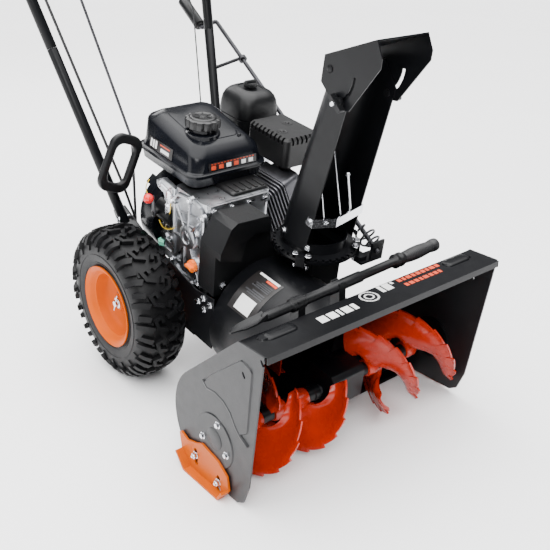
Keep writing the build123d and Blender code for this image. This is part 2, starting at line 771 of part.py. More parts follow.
with BuildPart() as choke_knob:
    bar_z(HEATER_Z[1] - 20, 22, 4, KNOB_AT)
    with BuildSketch(level(HEATER_Z[1] + 1)):
        with Locations(KNOB_AT):
            Circle(15)
            with PolarLocations(16.5, 6):
                Circle(3.2, mode=Mode.SUBTRACT)
    extrude(amount=9)
    with BuildSketch(level(HEATER_Z[1] + 10)):
        with Locations(KNOB_AT):
            Rectangle(26, 6)
    extrude(amount=5)
save(choke_knob, "choke_knob")

with BuildPart() as carburettor:
    block((112, 168), (440, 484), (214, 262), 6)
    block((120, 160), (480, 540), (226, 258), 8)
    block((128, 176), (500, 540), (250, HEATER_Z[0]), 8)
    bar_z(190, 26, 19, (140, 460))
    bar_y(380, 64, 15, (140, 238))
    add(cylinder.part, mode=Mode.SUBTRACT)
save(carburettor, "carburettor")

SHROUD_R = 104.0
SHROUD_Y = (470.0, 522.0)
with BuildPart() as flywheel_shroud:
    bar_y(CASE_Y[1], SHROUD_Y[0] - CASE_Y[1], 62, (CRANK_X, CRANK_Z))
    bar_y(SHROUD_Y[0], SHROUD_Y[1] - SHROUD_Y[0], SHROUD_R, (CRANK_X, CRANK_Z))
    with BuildSketch(across(SHROUD_Y[1])):
        with Locations((CRANK_X, CRANK_Z)):
            Circle(80)
    extrude(amount=-24, taper=12)
    # rope guide, up to the left
    with BuildSketch(across(SHROUD_Y[1])):
        with Locations((CRANK_X - 58, CRANK_Z + 58)):
            Rectangle(34, 22, rotation=-45)
    extrude(amount=-20)
    # air slots of the starter cover
    with BuildSketch(across(SHROUD_Y[1] + 14)):
        with Locations((CRANK_X, CRANK_Z)):
            with PolarLocations(50, 14):
                SlotOverall(34, 5)
    extrude(amount=-14, mode=Mode.SUBTRACT)
save(flywheel_shroud, "flywheel_shroud")

LEVER_PIVOT = (456.0, 186.0)
LEVER_X = -121.0
with BuildPart() as starter_motor:
    bar_y(CASE_Y[1], 54, 26, (-88, 186))
    bar_y(CASE_Y[1], 46, 15, (-88, 150))
    bar_x(-126, 14, 4, LEVER_PIVOT)
    bar_y(CASE_Y[1] - 1, 60, 62.3, (CRANK_X, CRANK_Z), Mode.SUBTRACT)
save(starter_motor, "starter_motor")

BALL_AT = (458.0, 221.5)
with BuildPart() as throttle_lever:
    with BuildSketch(upright(LEVER_X)):
        with Locations(LEVER_PIVOT):
            Circle(9)
        with Locations(BALL_AT):
            Circle(4)
        make_hull()
        with Locations(LEVER_PIVOT):
            Circle(4.05, mode=Mode.SUBTRACT)
    extrude(amount=-3)
    bar_x(LEVER_X - 8, 6, 4, BALL_AT)
    with BuildSketch(upright(LEVER_X - 13)):
        with Locations(BALL_AT):
            Circle(10.5)
            with Locations((0, -10.5)):
                Rectangle(21, 21, mode=Mode.SUBTRACT)
    revolve(axis=Axis(unit_point(LEVER_X - 13, *BALL_AT), unit_point(0, 1, 0) - unit_point(0, 0, 0)))
save(throttle_lever, "throttle_lever")

with BuildPart() as oil_dipstick:
    bar_x(CASE_X[0] - 8, 20, 8, DIPSTICK_AT)
    with BuildSketch(upright(CASE_X[0] - 6.3)):
        with Locations(DIPSTICK_AT):
            Circle(13)
            with PolarLocations(14.5, 8):
                Circle(2.4, mode=Mode.SUBTRACT)
    extrude(amount=-7)
    with BuildSketch(upright(CASE_X[0] - 13.3)):
        with Locations(DIPSTICK_AT):
            Rectangle(22, 5)
    extrude(amount=-7)
save(oil_dipstick, "oil_dipstick")

with BuildPart() as drain_cap:
    bar_z(100, 14, 5, DRAIN_AT)
    with BuildSketch(level(112.4)):
        with Locations(DRAIN_AT):
            RegularPolygon(12, 6)
    extrude(amount=9)
    bar_z(121.4, 3, 8, DRAIN_AT)
save(drain_cap, "drain_cap")

TANK_X, TANK_Y = (-94.0, 98.0), (362.0, 578.0)  # outer edge of the seam flange
TANK_SEAM = (288.0, 294.0)
CAP_AT = (-20.0, 440.0)
with BuildPart() as fuel_tank:
    block((TANK_X[0] + 12, TANK_X[1] - 14), (TANK_Y[0] + 10, TANK_Y[1] - 12), (CASE_TOP + 0.5, 288), 18)
    block(TANK_X, TANK_Y, TANK_SEAM, 22)
    # upper half, its top sloping up to the rear
    block((TANK_X[0] + 9, TANK_X[1] - 9), (TANK_Y[0] + 8, TANK_Y[1] - 9), (294, 380), 24, taper=8)
    with BuildSketch(upright(TANK_X[0] - 30)):
        with BuildLine():
            Polyline((340, 334), (600, 379.8), (600, 420), (340, 420), (340, 334))
        make_face()
    extrude(amount=240, mode=Mode.SUBTRACT)
    # filler neck
    bar_z(330, 34, 24, CAP_AT)
    bar_z(340, 30, 18.05, CAP_AT, Mode.SUBTRACT)
save(fuel_tank, "fuel_tank")

with BuildPart() as fuel_cap:
    bar_z(344, 26, 18, CAP_AT)
    with BuildSketch(level(364.4)):
        with Locations(CAP_AT):
            Circle(36)
            with PolarLocations(38.5, 12):
                Circle(5.2, mode=Mode.SUBTRACT)
    extrude(amount=18)
    bar_z(382.4, 4, 27, CAP_AT, taper=30)
save(fuel_cap, "fuel_cap")

GRIP_AT = (-150.0, 543.0, 268.0)
with BuildPart() as starter_grip:
    grip_place = UNIT * Location(GRIP_AT, (0, 22, 0))
    with BuildSketch(Plane(grip_place) * Plane.XZ.offset(7)):
        RectangleRounded(76, 126, 26)
        RectangleRounded(44, 86, 16, mode=Mode.SUBTRACT)
    extrude(amount=-14)
save(starter_grip, "starter_grip")

# ---------------------------------------------------------------- handle
handle_tubes = []
for side in (-1, 1):
    with BuildPart() as tube:
        bent_rod([tube_point(side, TUBE_LOW_Z), tube_point(side, TUBE_SPLIT_Z)], 0, TUBE_R)
    handle_tubes.append(tube)
save(handle_tubes[0], "handle_tube_left")
save(handle_tubes[1], "handle_tube_right")

BEND = tube_point(1, 880)        # where the tubes turn back towards the grips
GRIP_TURN = 15.66                # rise of the grips, in degrees
GRIP_END_Y = 543.95
GRIP_R = 15.0
GRIP_DIR = Vector(0, math.cos(math.radians(GRIP_TURN)), math.sin(math.radians(GRIP_TURN)))
GRIP_UP = Vector(0, -GRIP_DIR.Z, GRIP_DIR.Y)
grip_reach = (GRIP_END_Y - BEND.Y) / GRIP_DIR.Y


def handle_point(side, along, above=0.0):
    """A point by the rear run of the handle, measured along it from the bend."""
    point = BEND + GRIP_DIR * along + GRIP_UP * above
    return Vector(side * point.X, point.Y, point.Z)


LEVER_ALONG, LEVER_ABOVE = 82.0, 24.0
with BuildPart() as upper_handle:
    for side in (-1, 1):
        corner = handle_point(side, 0)
        end = handle_point(side, grip_reach - 6)
        bent_rod([tube_point(side, TUBE_SPLIT_Z + 1), corner, end], 80, TUBE_R)
        # ears and pin of the clutch lever
        for offset_x in (-8.5, 6.0):
            pivot = handle_point(1, LEVER_ALONG, LEVER_ABOVE)
            foot = handle_point(1, LEVER_ALONG, 4)
            with BuildSketch(Plane.YZ.offset(corner.X + offset_x)) as ear:
                with Locations((pivot.Y, pivot.Z)):
                    Circle(8)
                with Locations((foot.Y, foot.Z)):
                    Circle(9)
                make_hull()
            extrude(ear.sketch, amount=2.5)
        pin = handle_point(side, LEVER_ALONG, LEVER_ABOVE)
        bent_rod([pin - Vector(10, 0, 0), pin + Vector(10, 0, 0)], 0, 3)
    # crossbar
    bent_rod([tube_point(-1, 800), tube_point(1, 800)], 0, 9)
save(upper_handle, "upper_handle")

with BuildPart() as handle_grips:
    for side in (-1, 1):
        bent_rod([handle_point(side, 100), handle_point(side, grip_reach)], 0, GRIP_R)
        bore = [handle_point(side, 90), handle_point(side, grip_reach - 6)]
        bent_rod(bore, 0, TUBE_R, Mode.SUBTRACT)
save(handle_grips, "handle_grips")

LEVER_OPEN = 27.0
for side, label in ((-1, "clutch_lever_left"), (1, "clutch_lever_right")):
    pivot = handle_point(side, LEVER_ALONG, LEVER_ABOVE)
    rise = math.radians(GRIP_TURN + LEVER_OPEN)
    toward = Vector(0, math.cos(rise), math.sin(rise))
    with BuildPart() as clutch_lever:
        bent_rod([pivot - Vector(4.5, 0, 0), pivot + Vector(4.5, 0, 0)], 0, 8)
        bent_rod([pivot + toward * 5, pivot + toward * 120], 0, 5)
        bent_rod([pivot - Vector(9, 0, 0), pivot + Vector(9, 0, 0)], 0, 3.05, Mode.SUBTRACT)
    save(clutch_lever, label)

SPEED_X = -72.0
ROD_X = -80.0
ROD_LOW = (ROD_X, 175.5, 225.0)
ROD_BEND = (ROD_X, 161.0, 468.5)
ROD_TOP = (ROD_X, 401.0, 840.0)
rod_dir = (Vector(*ROD_TOP) - Vector(*ROD_BEND)).normalized()
ARM_LENGTH = 40.0
arm_dir = Vector(0, rod_dir.Z, -rod_dir.Y)
speed_pivot = Vector(SPEED_X, ROD_TOP[1], ROD_TOP[2]) - arm_dir * ARM_LENGTH
slot_along = (speed_pivot - BEND).dot(GRIP_DIR)
panel_drop = -(speed_pivot - BEND).dot(GRIP_UP)

PANEL_ALONG = (-6.0, 78.0)
PANEL_T = 22.0
with BuildPart() as dash_panel:
    panel_place = Plane(
        origin=handle_point(0, (PANEL_ALONG[0] + PANEL_ALONG[1]) / 2), x_dir=(1, 0, 0), z_dir=GRIP_UP
    )
    with BuildSketch(panel_place.offset(-PANEL_T / 2)):
        RectangleRounded(2 * BEND.X, PANEL_ALONG[1] - PANEL_ALONG[0], 12)
    extrude(amount=PANEL_T)
    with BuildSketch(panel_place.offset(-30)):
        with Locations((SPEED_X, slot_along - sum(PANEL_ALONG) / 2)):
            SlotOverall(48, 12, rotation=90)
    extrude(amount=60, mode=Mode.SUBTRACT)
    add(upper_handle.part, mode=Mode.SUBTRACT)
    # ears and pin under the panel for the speed lever
    for offset_x in (-8.5, 6.0):
        with BuildSketch(Plane.YZ.offset(SPEED_X + offset_x)):
            with Locations((speed_pivot.Y, speed_pivot.Z)):
                Circle(7)
            with Locations(((handle_point(0, slot_along, -12)).Y, handle_point(0, slot_along, -12).Z)):
                Circle(9)
            make_hull()
        extrude(amount=2.5)
    bent_rod([speed_pivot - Vector(9, 0, 0), speed_pivot + Vector(9, 0, 0)], 0, 3)
save(dash_panel, "dash_panel")

with BuildPart() as speed_lever:
    bent_rod([speed_pivot - Vector(4.5, 0, 0), speed_pivot + Vector(4.5, 0, 0)], 0, 7)
    knob_at = speed_pivot + GRIP_UP * (panel_drop + 66)
    bent_rod([speed_pivot + GRIP_UP * 4, knob_at], 0, 4)
    bent_rod([knob_at - GRIP_UP * 14, knob_at + GRIP_UP * 16], 0, 13)
    # lower arm and the pin that carries the rod
    elbow = speed_pivot + arm_dir * ARM_LENGTH
    bent_rod([speed_pivot + arm_dir * 4, elbow + arm_dir * 4], 0, 3.5)
    bent_rod([elbow, elbow - Vector(12, 0, 0)], 0, 2.5)
    bent_rod([speed_pivot - Vector(9, 0, 0), speed_pivot + Vector(9, 0, 0)], 0, 3.05, Mode.SUBTRACT)
save(speed_lever, "speed_lever")

with BuildPart() as speed_rod:
    top = Vector(*ROD_TOP)
    bent_rod([Vector(*ROD_LOW), Vector(*ROD_BEND), top - rod_dir * 7], 60, 3)
    bent_rod([top - Vector(2, 0, 0), top + Vector(2, 0, 0)], 0, 9)
    bent_rod([top - Vector(5, 0, 0), top + Vector(5, 0, 0)], 0, 6, Mode.SUBTRACT)
save(speed_rod, "speed_rod")

with BuildPart() as control_cables:
    left_run = [
        tube_point(-1, 858) + Vector(21, -16, 5),
        tube_point(-1, 380) + Vector(26, -12, 0),
        unit_point(-94, 575, 110),
    ]
    bent_rod(left_run, 60, 3)
    right_run = [
        Vector(100, 288, 784), Vector(100, 175, 740), Vector(100, 158, 512), unit_point(100, 590, 66),
    ]
    bent_rod(right_run, 50, 1.5)
save(control_cables, "control_cables")

# ---------------------------------------------------------------- chute
CHUTE_LOW, CHUTE_HIGH = 205.0, 570.0
CHUTE_T = 2.5
HINGE_AT = (146.0, 562.0)        # deflector hinge: along the shaft, up
BOLT_R = 58.5
BOLT_ANGLE = 234.6
bolt_at = (
    HINGE_AT[0] + BOLT_R * math.cos(math.radians(BOLT_ANGLE)),
    HINGE_AT[1] + BOLT_R * math.sin(math.radians(BOLT_ANGLE)),
)


def channel_section(z, half, front, back, inset):
    """Plan section of the chute: open to the front, rear corners rounded."""
    half -= inset
    back -= inset
    front -= 4 * inset
    corner = 35 - inset
    with BuildSketch(level(z)) as section:
        with BuildLine():
            Polyline(
                (CHUTE_X - half, back - corner), (CHUTE_X - half, front),
                (CHUTE_X + half, front), (CHUTE_X + half, back - corner),
            )
            RadiusArc((CHUTE_X + half, back - corner), (CHUTE_X + half - corner, back), -corner)
            Line((CHUTE_X + half - corner, back), (CHUTE_X - half + corner, back))
            RadiusArc((CHUTE_X - half + corner, back), (CHUTE_X - half, back - corner), -corner)
        make_face()
    return section.sketch


CHUTE_BACK = 246.0
with BuildPart() as chute:
    loft([channel_section(CHUTE_LOW, 64, 150, CHUTE_BACK, 0), channel_section(CHUTE_HIGH, 56, 88, 163, 0)])
    bar_z(CHUTE_LOW - 2.5, 3, 63, (CHUTE_X, CHUTE_Y))
    loft(
        [
            channel_section(CHUTE_LOW, 64, 150, CHUTE_BACK, CHUTE_T),
            channel_section(CHUTE_HIGH, 56, 88, 163, CHUTE_T),
        ],
        mode=Mode.SUBTRACT,
    )
    block((30, 144), (142, 240), (CHUTE_LOW - 5, CHUTE_LOW + 1), 30, Mode.SUBTRACT)
    # notched turning flange and its collar
    with BuildSketch(level(190.5)):
        with Locations((CHUTE_X, CHUTE_Y)):
            Circle(RING_R)
            with PolarLocations(RING_R, 36):
                Rectangle(10, 6, mode=Mode.SUBTRACT)
            Circle(60, mode=Mode.SUBTRACT)
    extrude(amount=3.5)
    with BuildSketch(level(194)):
        with Locations((CHUTE_X, CHUTE_Y)):
            Circle(63)
            Circle(60, mode=Mode.SUBTRACT)
    extrude(amount=22)
    # top edge falls away to the front
    with BuildSketch(upright(0)):
        with BuildLine():
            Polyline((130, 570.5), (60, 570.5), (60, 484.1), (130, 570.5))
        make_face()
    extrude(amount=200, mode=Mode.SUBTRACT)
    bar_x(0, 200, 3.2, bolt_at, Mode.SUBTRACT)
    # hinge pins of the deflector
    for side in (-1, 1):
        bar_x(CHUTE_X + side * 50, side * 13, 4, HINGE_AT)
save(chute, "chute")

PLATE_IN, PLATE_OUT = 58.2, 60.7
with BuildPart() as chute_deflector:
    for side in (-1, 1):
        with BuildSketch(upright(CHUTE_X + side * PLATE_IN)):
            with BuildLine():
                Polyline(
                    (163, 582), (50, 637), (34, 611), (34, 594), (90, 505), (120, 500), (165, 535),
                    (163, 582),
                )
            make_face()
            with Locations(HINGE_AT):
                Circle(4.06, mode=Mode.SUBTRACT)
            with BuildLine():
                outer_arc = CenterArc(HINGE_AT, BOLT_R + 3.5, 177.5, 64)
                inner_arc = CenterArc(HINGE_AT, BOLT_R - 3.5, 177.5, 64)
                Line(outer_arc @ 0, inner_arc @ 0)
                Line(outer_arc @ 1, inner_arc @ 1)
            make_face(mode=Mode.SUBTRACT)
        extrude(amount=side * (PLATE_OUT - PLATE_IN))
    # hood sheet over the top
    with BuildSketch(upright(CHUTE_X - PLATE_OUT)):
        with BuildLine():
            Polyline((163, 582), (50, 637), (48.9, 634.75), (161.9, 579.75), (163, 582))
        make_face()
    extrude(amount=2 * PLATE_OUT)
save(chute_deflector, "chute_deflector")

with BuildPart() as wing_knobs:
    for side in (-1, 1):
        bar_x(CHUTE_X + side * 52, side * 22, 3, bolt_at)
        bar_x(CHUTE_X + side * 51, side * 3, 7, bolt_at)
        bar_x(CHUTE_X + side * 61.2, side * 8, 9, bolt_at)
        with BuildSketch(upright(CHUTE_X + side * 64)):
            with Locations(bolt_at):
                SlotOverall(38, 9, rotation=35)
        extrude(amount=side * 12)
    add(chute.part, mode=Mode.SUBTRACT)
save(wing_knobs, "wing_knobs")

GUARD_TIP = (65.0, 118.0)
with BuildPart() as chute_guard:
    with BuildSketch(level(262)):
        with BuildLine():
            Polyline((22.5, 152), (22.5, 137), GUARD_TIP, (151.5, 137), (151.5, 152))
        trace(line_width=3)
    extrude(amount=18)
    for x in (46.0, 84.0, 118.0):
        run = 42.5 if x < GUARD_TIP[0] else 86.5
        y = GUARD_TIP[1] + 19 * abs(x - GUARD_TIP[0]) / run
        bent_rod([unit_point(x, y + 6, 222), unit_point(x, y - 8, 340)], 0, 2)
    for x in (18.0, 150.0):
        bar_x(x, 6, 6, (146, 271))
    add(chute.part, mode=Mode.SUBTRACT)
save(chute_guard, "chute_guard")

# ---------------------------------------------------------------- chute drive
crank_low = unit_point(176.1, 98, 184.6)
crank_high = Vector(250, 302, 670)
crank_dir = (crank_high - crank_low).normalized()
CRANK_ROD_R = 5.0

with BuildPart() as chute_ring_clamps:
    for angle in (-150, -48, 70):
        place = UNIT * Location((CHUTE_X, CHUTE_Y, 0), (0, 0, angle))
        with BuildSketch(Plane(place * Plane.XZ.offset(-9).location)):
            with BuildLine():
                Polyline(
                    (73, 178), (91, 178), (91, 200), (73, 200), (73, 195), (85.5, 195), (85.5, 184),
                    (73, 184), (73, 178),
                )
            make_face()
        extrude(amount=18)
    # bracket that carries the foot of the crank rod
    block((136, 158), (108, 132), (166, 178), 3)
    block((136, 196), (102, 132), (164, 169), 3)
    block((160, 196), (102, 107), (164, 206), 2)
    foot = unit_point(174.7, 88, 180.5)
    bent_rod([foot, unit_point(180, 128, 197)], 0, 6.2, Mode.SUBTRACT)
save(chute_ring_clamps, "chute_ring_clamps")

with BuildPart() as chute_crank:
    elbow = Vector(210, 305, 658)
    bent_rod([crank_low, crank_high, elbow], 12, CRANK_ROD_R)
    # worm at the foot, beside the notched ring
    for turn in range(4):
        ring_at = crank_low + crank_dir * (22 + 11 * turn)
        bent_rod([ring_at, ring_at + crank_dir * 4], 0, 21)
    bent_rod([crank_low + crank_dir * 18, crank_low + crank_dir * 63], 0, 12)
    bent_rod([elbow - Vector(0, 5, 0), elbow + crank_dir * 100], 0, 4)
save(chute_crank, "chute_crank")

with BuildPart() as crank_grip:
    bent_rod([elbow + crank_dir * 10, elbow + crank_dir * 104], 0, 13)
    bent_rod([elbow + crank_dir * 5, elbow + crank_dir * 10], 0, 8)
    add(chute_crank.part, mode=Mode.SUBTRACT)
save(crank_grip, "crank_grip")

with BuildPart() as crank_eye:
    eye = Vector(236.4, 181, 599.8)
    bent_rod([tube_point(1, 580) + Vector(6, -6, 0), eye - Vector(6, -6, 0)], 0, 4)
    bent_rod([eye - crank_dir * 4, eye + crank_dir * 4], 0, 10)
    bent_rod([eye - crank_dir * 30, eye + crank_dir * 30], 0, 5.6, Mode.SUBTRACT)
    add(handle_tubes[1].part, mode=Mode.SUBTRACT)
save(crank_eye, "crank_eye")

# ---------------------------------------------------------------- clean-out tool
TOOL = Location((0, -450, 340), (0, 0, 3.15))


def tool_bar(start, end, radius, mode=Mode.ADD):
    """Round bar along the clean-out tool."""
    with BuildSketch(Plane(TOOL * Plane.YZ.offset(start).location)) as section:
        Circle(radius)
    extrude(section.sketch, amount=end - start, mode=mode)


TOOL_R = 7.0
with BuildPart() as clean_out_tool:
    tool_bar(-232, 102, TOOL_R)
    tool_bar(100, 118, 11)
    tool_bar(118, 225, 12.5)
    with BuildSketch(Plane(TOOL * Plane.YZ.offset(-286).location)):
        with BuildLine():
            Polyline((-31, 6), (-29, -3), (29, -3), (31, 6))
        trace(line_width=3)
    extrude(amount=66)
    tool_bar(-240, -215, 9)
save(clean_out_tool, "clean_out_tool")

with BuildPart() as tool_clips:
    for x in (-150.0, -53.0):
        with BuildSketch(Plane(TOOL * Plane.YZ.offset(x).location)):
            with Locations((0, -14)):
                Rectangle(22, 46)
            Circle(TOOL_R + 0.5, mode=Mode.SUBTRACT)
            with Locations((0, 8)):
                Rectangle(2 * TOOL_R + 1, 16, mode=Mode.SUBTRACT)
        extrude(amount=16)
    # feet cut to the slope of the housing
    with BuildSketch(Plane.YZ.offset(-HALF_W)):
        add(housing_outline())
        make_face()
    extrude(amount=2 * HALF_W, mode=Mode.SUBTRACT)
save(tool_clips, "tool_clips")

# ---------------------------------------------------------------- bolts of the frame
with BuildPart() as frame_bolts:
    for side in (-1, 1):
        bolt_heads = [(y, z, HALF_W, 6.3, 4) for y, z in SKID_BOLTS]
        bolt_heads += [(y, z, HALF_W + 6.3, 6, 8) for y, z in SKID_BOLTS]
        for angle in (-20, 109, 204):
            spot = math.radians(angle)
            y = AUGER_Y + 37 * math.cos(spot)
            z = AUGER_Z + 37 * math.sin(spot)
            bolt_heads.append((y, z, HALF_W + DISH_RISE, 4, 6))
        for y, z, start, depth, radius in bolt_heads:
            with BuildSketch(Plane.YZ.offset(side * start)):
                with Locations((y, z)):
                    Circle(radius)
            extrude(amount=side * depth)
        # chassis to drum
        for spot in ((292, 60), (275, 76), (252, 72), (271, 52)):
            bar_x(side * CHASSIS_HALF, side * 5, 6, spot)
        # belt cover to chassis
        bar_y(243, 5, 6, (side * 92, 112))
        # handle tubes to chassis, with saddle spacers
        at = tube_point(side, 311)
        plate = Vector(side * CHASSIS_HALF, at.Y, at.Z)
        bent_rod([plate, at + Vector(side * 17, 0, 0)], 0, 6)
    for tube in handle_tubes:
        add(tube.part, mode=Mode.SUBTRACT)
save(frame_bolts, "frame_bolts")
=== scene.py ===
import math

import bmesh
import bpy
from mathutils import Matrix, Vector


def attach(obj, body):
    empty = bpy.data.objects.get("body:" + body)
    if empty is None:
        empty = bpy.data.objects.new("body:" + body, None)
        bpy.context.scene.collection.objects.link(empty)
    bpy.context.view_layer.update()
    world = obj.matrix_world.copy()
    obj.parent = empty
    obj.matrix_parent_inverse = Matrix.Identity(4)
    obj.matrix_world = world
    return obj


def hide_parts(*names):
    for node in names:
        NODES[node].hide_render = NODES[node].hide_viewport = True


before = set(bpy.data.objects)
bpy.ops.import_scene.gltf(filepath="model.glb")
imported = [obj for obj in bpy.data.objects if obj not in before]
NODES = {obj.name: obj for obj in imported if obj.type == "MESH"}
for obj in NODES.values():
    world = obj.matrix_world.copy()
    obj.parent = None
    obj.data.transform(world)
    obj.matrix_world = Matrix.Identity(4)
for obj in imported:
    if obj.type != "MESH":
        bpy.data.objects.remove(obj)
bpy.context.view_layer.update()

MM = 0.001

# ------------------------------------------------------------------ frames
LEAN = math.radians(8.0)
UNIT = Matrix.Translation((0.0, -0.407, 0.105)) @ Matrix.Rotation(LEAN, 4, "X")


def unit(x, y, z):
    """A point of the leaning engine frame (millimetres) as a point of the scene (metres)."""
    return UNIT @ Vector((x * MM, y * MM, z * MM))


def unit_dir(x, y, z):
    """A direction of the leaning frame."""
    return (UNIT.to_3x3() @ Vector((x, y, z))).normalized()


def tube_point(side, z):
    """Centre line of a handle tube, z in millimetres."""
    return Vector((side * (167.57 + 0.17754 * (z - 500)), 197.69 + 0.35914 * (z - 500), z)) * MM


# ------------------------------------------------------------------ materials
def material(name, color, rough, metal=0.0, coat=0.0, grain=0.0, grain_scale=900.0, vary=0.25,
             vary_scale=14.0, dust=0.0, streak=None, specular=0.5):
    """Procedural surface: drifting tone, uneven gloss, fine bump, optional dust or brushing."""
    mat = bpy.data.materials.new(name)
    mat.use_nodes = True
    nodes, links = mat.node_tree.nodes, mat.node_tree.links
    shader = nodes["Principled BSDF"]
    shader.inputs["Metallic"].default_value = metal
    shader.inputs["Specular IOR Level"].default_value = specular
    shader.inputs["Coat Weight"].default_value = coat
    shader.inputs["Coat Roughness"].default_value = 0.12
    coord = nodes.new("ShaderNodeTexCoord")
    source = coord.outputs["Object"]
    if streak:
        mapping = nodes.new("ShaderNodeMapping")
        mapping.inputs["Scale"].default_value = streak
        links.new(source, mapping.inputs["Vector"])
        source = mapping.outputs["Vector"]
    drift = nodes.new("ShaderNodeTexNoise")
    drift.inputs["Scale"].default_value = vary_scale
    drift.inputs["Detail"].default_value = 6.0
    links.new(coord.outputs["Object"], drift.inputs["Vector"])
    ramp = nodes.new("ShaderNodeValToRGB")
    low = [c * (1.0 - vary) for c in color] + [1.0]
    high = [min(1.0, c * (1.0 + vary)) for c in color] + [1.0]
    ramp.color_ramp.elements[0].position = 0.32
    ramp.color_ramp.elements[0].color = low
    ramp.color_ramp.elements[1].position = 0.7
    ramp.color_ramp.elements[1].color = high
    links.new(drift.outputs["Fac"], ramp.inputs["Fac"])
    base = ramp.outputs["Color"]
    if dust:
        specks = nodes.new("ShaderNodeTexNoise")
        specks.inputs["Scale"].default_value = 420.0
        specks.inputs["Detail"].default_value = 3.0
        links.new(coord.outputs["Object"], specks.inputs["Vector"])
        speck_ramp = nodes.new("ShaderNodeValToRGB")
        speck_ramp.color_ramp.elements[0].position = 0.66
        speck_ramp.color_ramp.elements[0].color = (0, 0, 0, 1)
        speck_ramp.color_ramp.elements[1].position = 0.74
        speck_ramp.color_ramp.elements[1].color = (dust, dust, dust, 1)
        links.new(specks.outputs["Fac"], speck_ramp.inputs["Fac"])
        mix = nodes.new("ShaderNodeMix")
        mix.data_type = "RGBA"
        mix.inputs[7].default_value = [min(1.0, c + 0.10) for c in color] + [1.0]
        links.new(speck_ramp.outputs["Color"], mix.inputs[0])
        links.new(base, mix.inputs[6])
        base = mix.outputs[2]
    links.new(base, shader.inputs["Base Color"])
    gloss = nodes.new("ShaderNodeTexNoise")
    gloss.inputs["Scale"].default_value = 60.0
    gloss.inputs["Detail"].default_value = 4.0
    links.new(source, gloss.inputs["Vector"])
    spread = nodes.new("ShaderNodeMapRange")
    spread.inputs["To Min"].default_value = max(0.02, rough - 0.09)
    spread.inputs["To Max"].default_value = min(1.0, rough + 0.09)
    links.new(gloss.outputs["Fac"], spread.inputs["Value"])
    links.new(spread.outputs["Result"], shader.inputs["Roughness"])
    if grain:
        fine = nodes.new("ShaderNodeTexNoise")
        fine.inputs["Scale"].default_value = grain_scale
        fine.inputs["Detail"].default_value = 3.0
        links.new(source, fine.inputs["Vector"])
        bump = nodes.new("ShaderNodeBump")
        bump.inputs["Strength"].default_value = grain
        bump.inputs["Distance"].default_value = 0.0006
        links.new(fine.outputs["Fac"], bump.inputs["Height"])
        links.new(bump.outputs["Normal"], shader.inputs["Normal"])
    return mat


PAINT = material("powder_black", (0.0030, 0.0032, 0.0040), 0.34, grain=0.10, grain_scale=1400,
                 vary=0.2, dust=0.015, specular=0.20)
# lighter, glossier copy of the black powder paint for the side plates, creases and bearing covers: the
# raised tone is painted sheen where they face the left light
PAINT_LIT_COPY = material("powder_black_painted_sheen", (0.0080, 0.0084, 0.0096), 0.40, grain=0.14, grain_scale=1500,
                      vary=0.15, dust=0.02, specular=0.42)
ENAMEL = material("tank_enamel", (0.0032, 0.0038, 0.0058), 0.22, coat=0.04, grain=0.02,
                  grain_scale=500, vary=0.2, specular=0.20)
HEAT_PAINT = material("heat_paint", (0.0034, 0.0034, 0.0038), 0.46, grain=0.22, grain_scale=1600,
                      vary=0.2, specular=0.35)
ORANGE = material("orange_enamel", (0.52, 0.082, 0.0), 0.40, grain=0.04,
                  grain_scale=350, vary=0.08, specular=0.10)
AUGER_RED = material("auger_enamel", (0.40, 0.014, 0.0), 0.27, coat=0.12, grain=0.05,
                     grain_scale=240, vary=0.14, specular=0.38)
SKID = material("skid_enamel", (0.46, 0.078, 0.0), 0.36, grain=0.03, grain_scale=300,
                vary=0.08, specular=0.14)
ALLOY = material("cast_alloy", (0.44, 0.45, 0.47), 0.30, metal=1.0, grain=0.6, grain_scale=600,
                 vary=0.34, vary_scale=26)
FIN_ALLOY = material("fin_alloy", (0.10, 0.10, 0.11), 0.42, metal=0.7, grain=0.4, grain_scale=700,
                     vary=0.25, vary_scale=30)
ZINC = material("zinc_plate", (0.72, 0.73, 0.76), 0.20, metal=1.0, grain=0.10, grain_scale=900,
                vary=0.1, streak=(1.0, 1.0, 6.0))
STEEL = material("dark_steel", (0.030, 0.030, 0.034), 0.34, metal=0.6, grain=0.12, grain_scale=800,
                 vary=0.2, streak=(1.0, 5.0, 1.0))
TYRE = material("tyre_rubber", (0.0040, 0.0040, 0.0046), 0.50, grain=0.35, grain_scale=700, vary=0.3,
                dust=0.015, specular=0.20)
PLASTIC = material("black_plastic", (0.0032, 0.0034, 0.0040), 0.40, grain=0.30, grain_scale=1700,
                   vary=0.15, specular=0.30)
GLOSS_PLASTIC = material("black_gloss_plastic", (0.003, 0.003, 0.0035), 0.36, grain=0.05,
                         grain_scale=900, vary=0.15, specular=0.5)
GRIP = material("grip_rubber", (0.006, 0.006, 0.007), 0.50, grain=0.30, grain_scale=1200, vary=0.2)
RED = material("red_plastic", (0.78, 0.006, 0.008), 0.22, coat=0.4, grain=0.02, vary=0.06)
ORANGE_PLASTIC = material("orange_plastic", (0.95, 0.17, 0.008), 0.34, grain=0.06, vary=0.08)
GREEN = material("green_plastic", (0.18, 0.60, 0.42), 0.34, grain=0.05, vary=0.1)
BELT = material("belt_rubber", (0.01, 0.01, 0.01), 0.65, grain=0.2, grain_scale=800)
PRINT_WHITE = material("print_white", (0.74, 0.74, 0.73), 0.45, grain=0.04, vary=0.05)
PRINT_GREY = material("print_grey", (0.035, 0.036, 0.040), 0.42, grain=0.04, vary=0.10)
PRINT_ORANGE = material("print_orange", (0.62, 0.055, 0.012), 0.42, grain=0.04, vary=0.08)
PRINT_DARK = material("print_dark", (0.010, 0.0085, 0.0085), 0.30, grain=0.03, vary=0.08)
WIRE_YELLOW = material("wire_yellow", (0.66, 0.44, 0.02), 0.4, grain=0.04, vary=0.1)

